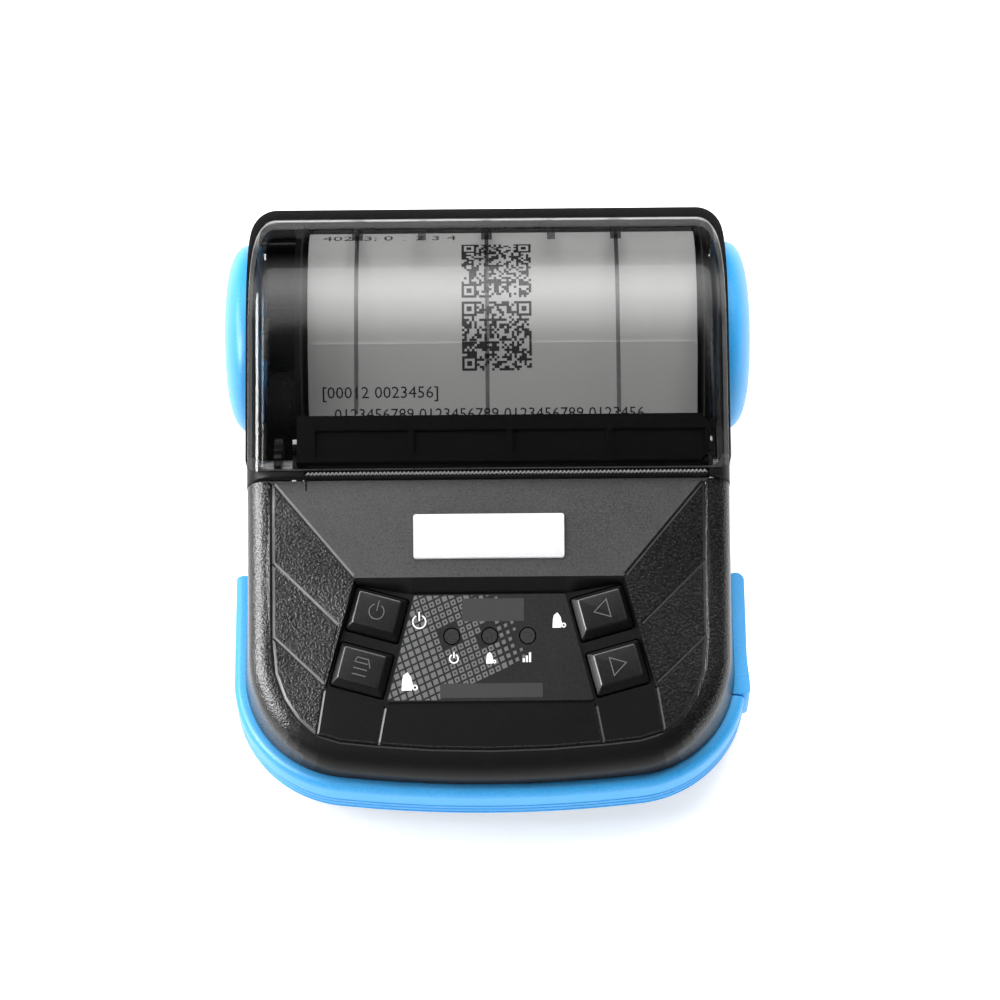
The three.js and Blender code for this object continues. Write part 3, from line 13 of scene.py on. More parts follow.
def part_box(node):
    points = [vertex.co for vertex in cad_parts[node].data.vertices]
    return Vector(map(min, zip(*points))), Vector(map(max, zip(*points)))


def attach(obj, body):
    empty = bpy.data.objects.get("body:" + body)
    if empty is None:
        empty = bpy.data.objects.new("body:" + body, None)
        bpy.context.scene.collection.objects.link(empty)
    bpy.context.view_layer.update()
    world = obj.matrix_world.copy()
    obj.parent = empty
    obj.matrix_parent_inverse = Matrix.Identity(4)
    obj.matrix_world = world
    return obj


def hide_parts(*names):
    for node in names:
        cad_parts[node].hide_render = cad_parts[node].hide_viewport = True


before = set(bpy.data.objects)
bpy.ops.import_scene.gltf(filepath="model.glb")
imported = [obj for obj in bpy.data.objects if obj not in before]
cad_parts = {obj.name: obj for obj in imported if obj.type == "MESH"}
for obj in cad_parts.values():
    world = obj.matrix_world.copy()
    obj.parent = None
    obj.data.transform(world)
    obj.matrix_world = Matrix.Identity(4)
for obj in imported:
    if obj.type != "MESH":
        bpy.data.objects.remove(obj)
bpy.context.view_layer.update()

MM = 0.001
SHARP = math.radians(32)
FIT = 0.3
BEYOND = 5
BORE_STEPS = 128


def box_mm(node):
    low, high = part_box(node)
    return low / MM, high / MM


# Shell sizes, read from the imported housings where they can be
TOP_LOW, TOP_HIGH = box_mm("top_housing")
HALF_WIDTH, FRONT_Y, SHELL_BOTTOM_Z = TOP_HIGH.x, TOP_LOW.y, TOP_LOW.z
CORNER_RADIUS, FRONT_RADIUS, RIM_RADIUS = 22, 260, 4
WALL = 2
TOP_DRAFT = 1.2
TOP_SHARE = (HALF_WIDTH - TOP_DRAFT) / HALF_WIDTH
DECK_REAR_Y, DECK_REAR_Z = -4.7, 44.838
CREASE_Y, CREASE_Z, CREASE_BLEND = -22.4, 36.7, 4
PANEL_REAR_Y, PANEL_REAR_Z = -24.8, 33.6
PANEL_FRONT_Y, PANEL_FRONT_Z = -46.3, 28.4
CEILING_BREAK_Y = -14
CORNER_X = HALF_WIDTH - CORNER_RADIUS
FRONT_CENTRE_Y = FRONT_Y + FRONT_RADIUS
CORNER_Y = FRONT_CENTRE_Y - math.sqrt((FRONT_RADIUS - CORNER_RADIUS) ** 2 - CORNER_X**2)
MEET_ANGLE = math.atan2(CORNER_Y - FRONT_CENTRE_Y, CORNER_X)

# Dome, hinge and side buttons
DOME_Y, DOME_Z, DOME_RADIUS = 34, 28, 28
COVER_HALF = box_mm("paper_cover")[1].x
COVER_FRONT_Y, COVER_FRONT_Z = -4.6, 47.2
COVER_EDGE = 5.5
COVER_REAR_Z, SKIRT_Z = 27.6, 30
HINGE_Y, HINGE_Z, KNUCKLE = 59, 24.4, 2.4
BUTTON_Y, BUTTON_Z, BUTTON_RADIUS = 36, 27, 19.5
RING_OUTER, RING_HOLE = 21.9, 19.9

UPPER_SLOPE = (DECK_REAR_Z - CREASE_Z) / (DECK_REAR_Y - CREASE_Y)
LOWER_SLOPE = (CREASE_Z - PANEL_FRONT_Z) / (CREASE_Y - PANEL_FRONT_Y)
PANEL_SLOPE = (PANEL_REAR_Z - PANEL_FRONT_Z) / (PANEL_REAR_Y - PANEL_FRONT_Y)


def deck_z(y):
    """The sloping deck, with its two planes blended across the crease."""
    t = y - CREASE_Y
    if t >= CREASE_BLEND:
        return CREASE_Z + UPPER_SLOPE * t
    if t <= -CREASE_BLEND:
        return CREASE_Z + LOWER_SLOPE * t
    mean, half = (UPPER_SLOPE + LOWER_SLOPE) / 2, (UPPER_SLOPE - LOWER_SLOPE) / 2
    return CREASE_Z + mean * t + half * (t * t + CREASE_BLEND**2) / (2 * CREASE_BLEND)


def panel_z(y):
    return PANEL_FRONT_Z + PANEL_SLOPE * (y - PANEL_FRONT_Y)


def ceiling_z(y):
    high, low = deck_z(CEILING_BREAK_Y) - WALL, panel_z(CREASE_Y) - WALL
    if y >= CEILING_BREAK_Y:
        return deck_z(y) - WALL
    if y <= CREASE_Y:
        return panel_z(y) - WALL
    return low + (high - low) * (y - CREASE_Y) / (CEILING_BREAK_Y - CREASE_Y)


def linked(name, data):
    """A new object of the scene."""
    piece = bpy.data.objects.new(name, data)
    bpy.context.scene.collection.objects.link(piece)
    return piece


# Camera
ELEVATION, ROLL = math.radians(66), math.radians(0.5)
DISTANCE, LENS = 0.8, 140.256
TARGET = Vector((0.0023, -0.00035, 0.025))


def add_camera():
    back = Vector((0, -math.cos(ELEVATION), math.sin(ELEVATION)))
    up = Vector((0, math.sin(ELEVATION), math.cos(ELEVATION)))
    right = Vector((1, 0, 0))
    level = right * math.cos(ROLL) - up * math.sin(ROLL)
    upright = right * math.sin(ROLL) + up * math.cos(ROLL)
    data = bpy.data.cameras.new("camera")
    data.lens = LENS
    camera = linked("camera", data)
    place = Matrix((level, upright, back)).transposed().to_4x4()
    place.translation = TARGET + back * DISTANCE
    camera.matrix_world = place
    bpy.context.scene.camera = camera


add_camera()


# Mesh tools
JOINED = 1e-4


class Skin:
    """Collects the points and faces of one mesh, in millimetres."""

    def __init__(self):
        self.points, self.faces, self.looks = [], [], []

    def ring(self, points):
        start = len(self.points)
        self.points.extend(points)
        return list(range(start, len(self.points)))

    def lay(self, plan, height):
        """A ring over plan points, at one height or at a height for each y."""
        return self.ring([(x, y, height(y) if callable(height) else height) for x, y in plan])

    def section(self, x, points):
        return self.ring([(x, y, z) for y, z in points])

    def face(self, corners, look=0):
        self.faces.append(tuple(corners))
        self.looks.append(look)

    def strip(self, low, high, closed=False, look=0):
        count = len(low)
        for i in range(count if closed else count - 1):
            j = (i + 1) % count
            self.face((low[i], low[j], high[j], high[i]), look)

    def loft(self, rings, closed=True):
        for low, high in zip(rings, rings[1:]):
            self.strip(low, high, closed)

    def body(self, rings):
        """Walls through closed rings, and both ends covered."""
        self.loft(rings)
        self.face(rings[0])
        self.face(rings[-1])
        return self

    def add(self, other, look=0):
        start = len(self.points)
        self.points.extend(other.points)
        for corners, own in zip(other.faces, other.looks):
            self.face((start + c for c in corners), own + look)


def in_polygon(x, y, polygon):
    inside = False
    for (ax, ay), (bx, by) in zip(polygon, polygon[1:] + polygon[:1]):
        if (ay > y) != (by > y) and x < (bx - ax) * (y - ay) / (by - ay) + ax:
            inside = not inside
    return inside


def numbered(loops):
    """The points of several loops in one list, and each loop as numbers in it."""
    points, numbers = [], []
    for loop in loops:
        numbers.append(list(range(len(points), len(points) + len(loop))))
        points.extend(loop)
    return points, numbers


def triangles(points, loops, extra_edges=()):
    """Triangles inside the first loop and outside the others: the output points, each one's input
    point, and the triangles as (corners, x, y) with their middles."""
    edges = [(a, b) for loop in loops for a, b in zip(loop, loop[1:] + loop[:1])]
    found = delaunay_2d_cdt([Vector(p) for p in points], edges + list(extra_edges), [], 0, 1e-5)
    places, origins = found[0], found[3]
    outer, *holes = [[points[i] for i in loop] for loop in loops]
    kept = []
    for corners in found[2]:
        x, y = (sum(places[c][axis] for c in corners) / 3 for axis in (0, 1))
        if in_polygon(x, y, outer) and not any(in_polygon(x, y, hole) for hole in holes):
            kept.append((tuple(corners), x, y))
    return places, [o[0] if o else None for o in origins], kept


def object_from(name, skin):
    mesh = bpy.data.meshes.new(name)
    mesh.from_pydata([tuple(p) for p in skin.points], [], skin.faces)
    mesh.polygons.foreach_set("material_index", skin.looks)
    work = bmesh.new()
    work.from_mesh(mesh)
    bmesh.ops.remove_doubles(work, verts=work.verts, dist=JOINED)
    bmesh.ops.dissolve_degenerate(work, dist=JOINED, edges=work.edges)
    bmesh.ops.recalc_face_normals(work, faces=work.faces)
    work.to_mesh(mesh)
    work.free()
    return linked(name, mesh)


def evaluated_mesh(piece):
    graph = bpy.context.evaluated_depsgraph_get()
    return bpy.data.meshes.new_from_object(piece.evaluated_get(graph))


def settle(piece):
    """Applies the modifiers of a piece to its mesh."""
    mesh = evaluated_mesh(piece)
    piece.modifiers.clear()
    old = piece.data
    piece.data = mesh
    bpy.data.meshes.remove(old)


def boolean(piece, cutters, operation="DIFFERENCE"):
    """Cuts skins or objects from a piece, or adds them, and removes them."""
    cutters = [object_from("cutter", c) if isinstance(c, Skin) else c for c in cutters]
    for cutter in cutters:
        modifier = piece.modifiers.new("boolean", "BOOLEAN")
        modifier.operation = operation
        modifier.solver = "EXACT"
        modifier.object = cutter
    settle(piece)
    for cutter in cutters:
        bpy.data.objects.remove(cutter)


def soften(piece, width, segments=2, angle=40):
    modifier = piece.modifiers.new("soften", "BEVEL")
    modifier.width = width
    modifier.segments = segments
    modifier.limit_method = "ANGLE"
    modifier.angle_limit = math.radians(angle)
    modifier.use_clamp_overlap = True
    settle(piece)
    return piece


def finish_piece(piece, body, materials, nodes=(), sharp=SHARP):
    mesh = piece.data
    mesh.transform(Matrix.Scale(MM, 4))
    mesh.shade_smooth()
    mesh.set_sharp_from_angle(angle=sharp)
    looks = [face.material_index for face in mesh.polygons]
    mesh.materials.clear()
    for material in materials:
        mesh.materials.append(material)
    mesh.polygons.foreach_set("material_index", [min(look, len(materials) - 1) for look in looks])
    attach(piece, body)
    if nodes:
        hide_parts(*nodes)


def sweep(centre_x, centre_y, radius, first, turn, steps):
    """Points of an arc, its angles in radians."""
    angles = [first + turn * i / steps for i in range(steps + 1)]
    return [(centre_x + radius * math.cos(a), centre_y + radius * math.sin(a)) for a in angles]


def arc(centre_u, centre_v, radius, start, end, steps):
    """Points of an arc, its angles in degrees."""
    return sweep(centre_u, centre_v, radius, math.radians(start), math.radians(end - start), steps)


def circle(centre_u, centre_v, radius, steps):
    return arc(centre_u, centre_v, radius, 0, 360, steps)[:-1]


def corners_of(x0, x1, y0, y1):
    return [(x0, y0), (x1, y0), (x1, y1), (x0, y1)]


def prism(outline, low, high, axis="x", holes=()):
    """An outline carried along an axis. Its points are (y, z) for x, (x, z) for y and (x, y) for z."""
    def placed(point, t):
        u, v = point
        return {"x": (t, u, v), "y": (u, t, v), "z": (u, v, t)}[axis]

    points, loops = numbered((outline, *holes))
    _, origins, faces = triangles(points, loops)
    skin = Skin()
    ends = [skin.ring([placed(p, t) for p in points]) for t in (low, high)]
    for end in ends:
        for corners, *_ in faces:
            skin.face(end[origins[c]] for c in corners)
    for loop in loops:
        skin.strip([ends[0][i] for i in loop], [ends[1][i] for i in loop], closed=True)
    return skin


def block(x0, x1, y0, y1, z0, z1):
    return prism(corners_of(x0, x1, y0, y1), z0, z1, "z")


def rod_x(x0, x1, y, z, radius, steps=48):
    return prism(circle(y, z, radius, steps), x0, x1, "x")


def rod_z(x, y, z0, z1, radius):
    return prism(circle(x, y, radius, 40), z0, z1, "z")


def outline(inset, rear_y, breaks=()):
    """The body's outline seen from above, from its rear right round the front."""
    right = [(HALF_WIDTH - inset, y) for y in (rear_y, *breaks)]
    right += sweep(CORNER_X, CORNER_Y, CORNER_RADIUS - inset, 0, MEET_ANGLE, 22)
    front_turn = -(math.pi / 2 + MEET_ANGLE)
    right += sweep(0, FRONT_CENTRE_Y, FRONT_RADIUS - inset, MEET_ANGLE, front_turn, 22)[1:-1]
    return right + [(0, FRONT_Y + inset)] + [(-x, y) for x, y in reversed(right)]


def grown(points, distance):
    """A convex anticlockwise outline moved outwards."""
    moved = []
    for i, (x, y) in enumerate(points):
        (ax, ay), (bx, by) = points[i - 1], points[(i + 1) % len(points)]
        first = Vector((y - ay, ax - x)).normalized()
        second = Vector((by - y, x - bx)).normalized()
        middle = (first + second).normalized()
        reach = distance / max(middle.dot(first), 0.2)
        moved.append((x + middle.x * reach, y + middle.y * reach))
    return moved


def rounded(points, radius, steps=5):
    """A convex anticlockwise outline with its corners rounded."""
    result = []
    for i, point in enumerate(points):
        corner = Vector(point)
        before = (Vector(points[i - 1]) - corner).normalized()
        after = (Vector(points[(i + 1) % len(points)]) - corner).normalized()
        half = before.angle(after) / 2
        centre = corner + (before + after).normalized() * radius / math.sin(half)
        start, end = (corner + way * radius / math.tan(half) - centre for way in (before, after))
        first, last = (math.atan2(end_point.y, end_point.x) for end_point in (start, end))
        while last < first:
            last += 2 * math.pi
        result += sweep(centre.x, centre.y, radius, first, last - first, steps)
    return result


# Materials
class Nodes:
    """The nodes of one material or world in the making."""

    def __init__(self, owner):
        owner.use_nodes = True
        self.owner, self.nodes = owner, owner.node_tree.nodes

    def link(self, source, target):
        self.owner.node_tree.links.new(source, target)

    def fill(self, node, *sources, **values):
        """Sets or links the inputs of a node, in order or by name with _ for a space."""
        named = [(name.replace("_", " "), value) for name, value in values.items()]
        for slot, value in [*enumerate(sources), *named]:
            if isinstance(value, bpy.types.NodeSocket):
                self.link(value, node.inputs[slot])
            else:
                node.inputs[slot].default_value = value
        return node

    def node(self, kind, *sources, operation=None, **values):
        node = self.nodes.new("ShaderNode" + kind)
        if operation:
            node.operation = operation
        return self.fill(node, *sources, **values)


class Look(Nodes):
    """A material in the making."""

    def __init__(self, name):
        super().__init__(bpy.data.materials.new(name))
        self.shader = self.nodes["Principled BSDF"]

    def place(self):
        return self.node("TexCoord").outputs["Object"]

    def noise(self, size_mm, detail=3.0, roughness=0.5, place=None):
        place = self.place() if place is None else place
        texture = self.node("TexNoise", place, Scale=1 / (size_mm * MM), Detail=detail, Roughness=roughness)
        return texture.outputs["Fac"]

    def ramp(self, source, *stops):
        """A colour ramp through (place, colour) stops; a plain number makes a grey."""
        node = self.node("ValToRGB", source)
        elements = node.color_ramp.elements
        while len(elements) < len(stops):
            elements.new(0.5)
        for element, (place, colour) in zip(elements, stops):
            element.position = place
            element.color = (*colour, 1) if isinstance(colour, tuple) else (colour, colour, colour, 1)
        return node.outputs["Color"]

    def bump(self, height, strength, distance_mm):
        node = self.node("Bump", Strength=strength, Distance=distance_mm * MM, Height=height)
        return node.outputs["Normal"]

    def made(self, **values):
        """The material, with its shader's inputs set."""
        self.fill(self.shader, **values)
        return self.owner


def moulded(name, dark, light, rough, grain_mm, grain_strength, grain_depth=0.05, coat=0.0, specular=0.5):
    """Moulded plastic: fine grain in bump and roughness, and faint mottling in its colour."""
    look = Look(name)
    grain = look.noise(grain_mm, 2.0, 0.6)
    mottle = look.node("Math", look.noise(14.0, 4.0), 0.25, grain, operation="MULTIPLY_ADD")
    return look.made(
        Base_Color=look.ramp(mottle.outputs[0], (0.45, dark), (0.8, light)),
        Roughness=look.ramp(grain, (0.3, rough * 0.85), (0.7, min(1.0, rough * 1.15))),
        Normal=look.bump(grain, grain_strength, grain_depth),
        Specular_IOR_Level=specular, Coat_Weight=coat, Coat_Roughness=0.25,
    )


def metal(name, colour, rough, grain_mm, stretch):
    """Brushed or rolled metal, its grain drawn out along x."""
    look = Look(name)
    drawn_out = look.node("Mapping", look.place(), Scale=(1 / stretch, 1, 1))
    grain = look.noise(grain_mm, place=drawn_out.outputs["Vector"])
    return look.made(
        Base_Color=look.ramp(grain, (0.3, tuple(c * 0.8 for c in colour)), (0.7, colour)),
        Roughness=look.ramp(grain, (0.3, rough * 0.8), (0.7, rough * 1.3)),
        Normal=look.bump(grain, 0.15, 0.02), Metallic=1,
    )


def paper(name, colour, spiral_centre=None):
    """Coated paper with faint fibre; with a centre given, the wound layers show on its ends."""
    look = Look(name)
    fibre = look.noise(0.35, 5.0, 0.7)
    if spiral_centre is None:
        relief = look.bump(fibre, 0.12, 0.01)
    else:
        centre = tuple(-c * MM for c in spiral_centre)
        around = look.node("Mapping", look.place(), Location=centre, Scale=(0, 1, 1))
        wave = look.node("TexWave", around.outputs["Vector"], Scale=1 / (4.0 * MM), Distortion=0.6)
        wave.wave_type, wave.rings_direction = "RINGS", "SPHERICAL"
        relief = look.bump(wave.outputs["Fac"], 0.5, 0.05)
    shade, pale = tuple(c * 0.95 for c in colour), tuple(min(1.0, c * 1.02) for c in colour)
    return look.made(Base_Color=look.ramp(fibre, (0.35, shade), (0.65, pale)), Roughness=0.62, Normal=relief)


def smoked(name, clear, clear_edge, edge_place, rough, shine):
    """Tinted clear plastic: each surface passes a grey share, less where it is seen aslant, and
    mirrors a little."""
    look = Look(name)
    facing = look.node("LayerWeight", 0.5).outputs["Facing"]
    window = look.node("BsdfTransparent", look.ramp(
        facing, (0.0, clear), (0.08, clear), (0.25, clear * 0.80), (edge_place - 0.02, clear * 0.84),
        (edge_place, clear_edge), (1.0, clear_edge * 0.6),
    ))
    haze = look.ramp(look.noise(9.0, 2.0), (0.3, rough), (0.7, rough * 1.6))
    glossy = look.node("BsdfGlossy", Roughness=haze)
    mix = look.node("MixShader", look.ramp(facing, *shine), window.outputs[0], glossy.outputs[0])
    look.link(mix.outputs[0], look.nodes["Material Output"].inputs["Surface"])
    look.nodes.remove(look.shader)
    return look.owner


BLACK = moulded("black_grained", 0.0040, 0.018, 0.24, 0.44, 1.0, 0.15, specular=0.48)
# Darker, less shiny copies of the grained black: painted shade, graded across the front corners of the rim.
HALF_SHADED_BLACK = moulded("black_fine", 0.0045, 0.012, 0.30, 0.40, 0.7, 0.08, specular=0.33)
MOSTLY_SHADED_BLACK = moulded("black_soft", 0.0045, 0.008, 0.34, 0.40, 0.4, 0.04, specular=0.21)
# Satin finish for the upper field, its grey painted lighter for the light that the tilted field catches.
LIT_SATIN_BLACK = moulded(
    "black_satin", (0.030, 0.030, 0.0305), (0.062, 0.062, 0.063), 0.50, 0.30, 0.35, 0.03, specular=0.4)
# The darkest, dullest copy of the black plastic: painted shade on the front rim, the front field and the
# pocket; also the cover's front edge.
SMOOTH_BLACK_AND_SHADE = moulded("black_smooth", 0.0050, 0.0080, 0.38, 0.2, 0.15, 0.015, specular=0.13)
# Near-black for the inner parts, also painted as shade on the keys' far bevels.
INNER_BLACK_AND_SHADE = moulded("black_inner", 0.002, 0.005, 0.55, 0.3, 0.3, 0.04, specular=0.12)
KEY_BLACK = moulded("black_key", 0.006, 0.010, 0.33, 0.3, 0.4, 0.03, specular=0.4)
BLUE = moulded("blue_satin", (0.036, 0.37, 0.82), (0.058, 0.42, 0.88), 0.40, 0.5, 0.12, 0.02, specular=0.35)
RUBBER = moulded("black_rubber", 0.008, 0.014, 0.8, 0.12, 0.5, 0.03)
NYLON = moulded("white_nylon", (0.72, 0.70, 0.64), (0.80, 0.79, 0.74), 0.45, 0.4, 0.15, 0.02)
DARK_NYLON = moulded("dark_nylon", 0.010, 0.018, 0.45, 0.4, 0.15, 0.02)
LABEL = moulded("white_label", (0.73, 0.73, 0.74), (0.78, 0.78, 0.79), 0.55, 0.6, 0.05, 0.01)
PRINT_WHITE = moulded("white_ink", 0.86, 0.93, 0.55, 0.2, 0.1, 0.01)
PRINT_GREY = moulded("grey_ink", (0.085, 0.085, 0.087), (0.12, 0.12, 0.122), 0.5, 0.2, 0.1, 0.01)
PRINT_PATCH = moulded("dark_grey_ink", 0.015, 0.020, 0.5, 0.3, 0.1, 0.01)
PRINT_BLACK = moulded("thermal_print", (0.012, 0.012, 0.013), (0.03, 0.03, 0.032), 0.6, 0.15, 0.1, 0.01)
PANEL = moulded("panel_film", 0.005, 0.018, 0.42, 0.2, 0.25, 0.02, specular=0.25)
LAMP = moulded("lamp_lens", 0.006, 0.030, 0.35, 0.22, 0.2, 0.02, 0.1)
BOARD = moulded("green_board", (0.006, 0.05, 0.022), (0.012, 0.08, 0.035), 0.4, 0.5, 0.2, 0.03)
CERAMIC = moulded("head_ceramic", (0.16, 0.11, 0.08), (0.22, 0.16, 0.12), 0.3, 0.5, 0.1, 0.02)
CARD = moulded("brown_card", (0.25, 0.17, 0.10), (0.36, 0.25, 0.15), 0.85, 0.5, 0.4, 0.05)
STEEL = metal("rolled_steel", (0.62, 0.63, 0.65), 0.28, 0.3, 12)
SINK = metal("cast_heat_sink", (0.55, 0.56, 0.57), 0.42, 0.4, 2)
PAPER = paper("thermal_paper", (0.86, 0.86, 0.85))
ROLL_PAPER = paper("thermal_paper_roll", (0.86, 0.86, 0.85), (0, 39.7, 25.7))
# The narrow peak in the outer reflection share, just short of the silhouette, is a painted highlight line
# along the cover's edge.
OUTER_SHINE = [(0.0, 0.045), (0.585, 0.055), (0.610, 0.28), (0.632, 0.008), (1.0, 0.02)]
INNER_SHINE = [(0.0, 0.02), (0.9, 0.03), (1.0, 0.06)]
COVER = smoked("smoked_clear", 0.82, 0.03, 0.635, 0.06, OUTER_SHINE)
COVER_INNER = smoked("smoked_clear_inner", 0.82, 0.60, 0.97, 0.08, INNER_SHINE)
COVER_RIB = smoked("smoked_rib", 0.60, 0.30, 0.90, 0.08, INNER_SHINE)
COVER_FOOT = smoked("smoked_foot", 0.72, 0.60, 0.90, 0.08, INNER_SHINE)
COVER_DARK = moulded("smoked_edge", (0.004, 0.004, 0.0045), (0.010, 0.010, 0.011), 0.16, 0.6, 0.1, 0.02, 0.5)
# Painted highlight for the cover's front edge at the seam.
COVER_SEAM_HIGHLIGHT = moulded("polished_edge", 0.05, 0.09, 0.3, 0.4, 0.1, 0.02, 0.1)
# Painted highlights: the groove walls that face the light get a lighter grey, bright on the left and dimmer
# on the right and front.
PAINTED_GROOVE_HIGHLIGHT = moulded("groove_edge_left", 0.15, 0.22, 0.4, 0.3, 0.2, 0.02)
PAINTED_GROOVE_DIM_HIGHLIGHT = moulded("groove_edge_right", 0.028, 0.045, 0.4, 0.3, 0.2, 0.02, specular=0.12)
# Painted highlight for the slanted faces of the tear bar's teeth.
TOOTH_HIGHLIGHT = moulded("tooth_edge", 0.22, 0.34, 0.3, 0.2, 0.1, 0.01)
# Grey of the key marks, also painted as a highlight on the key edges that face the light.
MARK_GREY_AND_HIGHLIGHT = moulded("key_mark", (0.10, 0.10, 0.101), (0.15, 0.15, 0.152), 0.42, 0.2, 0.2, 0.02)


# Top housing, whose looks are numbered in this order
TOP_LOOKS = [BLACK, LIT_SATIN_BLACK, SMOOTH_BLACK_AND_SHADE, PAINTED_GROOVE_HIGHLIGHT, PAINTED_GROOVE_DIM_HIGHLIGHT, HALF_SHADED_BLACK, MOSTLY_SHADED_BLACK]
GRAINED, LIT_SATIN, SMOOTH_SHADE, HIGHLIGHT_WALL, DIM_HIGHLIGHT_WALL, HALF_SHADE, MOST_SHADE = range(7)
TOP_SHARP = math.radians(9)
RIM_STEPS = 12
DECK_BREAKS = (-9, -14, -18.4, -20.4, -22.4, -24.4, -26.4, -30.4, -34.4)
FILL_ROWS = (-8.3, -12.1, -16.2, -18.5, -20.5, -24.5, -26.5, -31.1, -36.2, -41.3, -50.2, -53.1)
FILL_SHIFT = 0.13
POCKET_TOP = [
    (-27, -22.4), (-15.5, -22.4), (15.5, -22.4), (27, -22.4),
    (33, -43), (21, -46.3), (-21, -46.3), (-33, -43),
]
POCKET_FLOOR = [
    (-26.6, -22.95), (-15.4, -24.8), (15.4, -24.8), (26.6, -22.95),
    (32.7, -42.95), (20.95, -46.2), (-20.95, -46.2), (-32.7, -42.95),
]
TRAPEZOID = [(-43.4, -4.2), (43.4, -4.2), (27, -22.4), (-27, -22.4)]
KEY_WIDTH, KEY_DEPTH, KEY_GAP, KEY_TILT = 10.7, 8.5, 0.4, 15
KEYS = {
    "power": (-22.6, -28.8, -KEY_TILT), "feed": (-25.6, -39.65, -KEY_TILT),
    "back": (22.6, -28.8, KEY_TILT), "forward": (25.6, -39.65, KEY_TILT),
}
LAMPS, LAMP_Y, LAMP_HOLE = (-7.6, 0, 7.6), -33.3, 1.85
GROOVES = [
    ((42.9, -5.3), (27.35, -22.05)), ((43.35, -19.3), (30.45, -31.25)), ((43.35, -33.3), (33.4, -42.35)),
    ((33.25, -43.6), (34.65, -51.7)), ((21.1, -47.0), (22.5, -53.8)),
]
RIM_GROOVE = [
    (43.3, -5.3), (43.4, -9), (43.45, -34), (42.9, -40.2), (41.1, -45.0), (38.4, -48.9), (35.0, -51.8),
    (30, -53.2), (23.7, -53.85), (12, -54.68), (0, -54.97),
]
SLIT_X, SLIT_FRONT_Y, SLIT_HALF, SLIT_DEPTH = -36.5, -6.5, 0.16, 1.7
LINE_SIZES = {"facet": (0.8, 0.36), "rim": (1.0, 0.6)}
SIDE_SLOPE, SIDE_SINK = 0.05, 0.72
FACET_START = [(-56.3, 35.4), (-43.6, 33.25), (-43, 33), (-22.4, 27), (-5.3, 42.9), (0, 48)]
FIELD_REAR_Y, FIELD_CORNER, FIELD_LEAN = -43.2, (33.25, -43.6), 0.173
RIM_TURN_X, HIGHLIGHT_WALL_X, LIT_SLOPE = 33, -20, 0.6
RIM_FADE_Y, RIM_PAINTED_SHADES = -45, ((35, SMOOTH_SHADE), (38, MOST_SHADE), (40.5, HALF_SHADE))
HALF_PATHS = [("facet", list(g)) for g in GROOVES] + [("rim", RIM_GROOVE)]
GROOVE_PATHS = HALF_PATHS + [(kind, [(-x, y) for x, y in path]) for kind, path in HALF_PATHS]
SEGMENTS = [(kind, Vector(a), Vector(b)) for kind, path in GROOVE_PATHS for a, b in zip(path, path[1:])]
RIM_LOOP = [(-x, y) for x, y in RIM_GROOVE] + RIM_GROOVE[-2::-1]


def facet_start(y):
    """How far from the middle the side facets begin to lean outwards."""
    for (y0, x0), (y1, x1) in zip(FACET_START, FACET_START[1:]):
        if y <= y1:
            return x0 + (x1 - x0) * (max(y, y0) - y0) / (y1 - y0)
    return FACET_START[-1][1]


def segments_from(x, y):
    """Each groove segment as (kind, place from its start, span, share along it, whether beside it)."""
    for kind, a, b in SEGMENTS:
        away, span = Vector((x, y)) - a, b - a
        share = away.dot(span) / span.length_squared
        yield kind, away, span, share, -0.001 <= share <= 1.001


def groove_depth(x, y):
    """How far the deck sinks at a place: the lean of the side facets, or a groove if that is deeper."""
    depth = 0.0
    if in_polygon(x, y, RIM_LOOP):
        depth = min(SIDE_SINK, SIDE_SLOPE * max(0.0, abs(x) - facet_start(y)))
    for kind, away, span, share, beside in segments_from(x, y):
        width, deep = LINE_SIZES[kind]
        if kind == "rim" or beside:
            distance = (away - span * max(0.0, min(1.0, share))).length
            depth = max(depth, deep * max(0.0, 1 - distance / (width / 2)))
    return depth


def groove_constraints(points, edges):
    """Adds each groove's middle line and its two edges as lines of the triangulation."""
    for kind, path in GROOVE_PATHS:
        rows = []
        for i, (x, y) in enumerate(path):
            ax, ay = path[max(i - 1, 0)]
            bx, by = path[min(i + 1, len(path) - 1)]
            normal = Vector((ay - by, bx - ax)).normalized() * LINE_SIZES[kind][0] / 2
            rows.append([(x + normal.x, y + normal.y), (x, y), (x - normal.x, y - normal.y)])
        for line in zip(*rows):
            edges.extend((len(points) + i, len(points) + i + 1) for i in range(len(line) - 1))
            points.extend(line)


def turned_at(x, y, tilt, u, v):
    angle = math.radians(tilt)
    return x + u * math.cos(angle) - v * math.sin(angle), y + u * math.sin(angle) + v * math.cos(angle)


def key_corners(grow):
    half_width, half_depth = KEY_WIDTH / 2 + grow, KEY_DEPTH / 2 + grow
    return corners_of(-half_width, half_width, -half_depth, half_depth)


def panel_holes():
    room = key_corners(KEY_GAP)
    holes = [rounded([turned_at(*key, u, v) for u, v in room], 0.7, 4) for key in KEYS.values()]
    return holes + [circle(x, LAMP_Y, LAMP_HOLE, 24) for x in LAMPS]


def holed_surface(skin, rings, height, extra=(), extra_edges=(), look=lambda x, y: GRAINED):
    """Triangulates inside the first ring and outside the others, each in the skin as (numbers, plan)."""
    indices = [i for numbers, _ in rings for i in numbers]
    points, loops = numbered([plan for _, plan in rings])
    base = len(points)
    edges = [(base + a, base + b) for a, b in extra_edges]
    places, origins, faces = triangles(points + list(extra), loops, edges)
    lookup = {}
    for corners, middle_x, middle_y in faces:
        for c in corners:
            if c not in lookup:
                x, y = places[c]
                known = origins[c] is not None and origins[c] < base
                lookup[c] = indices[origins[c]] if known else skin.ring([(x, y, height(x, y))])[0]
        skin.face((lookup[c] for c in corners), look(middle_x, middle_y))


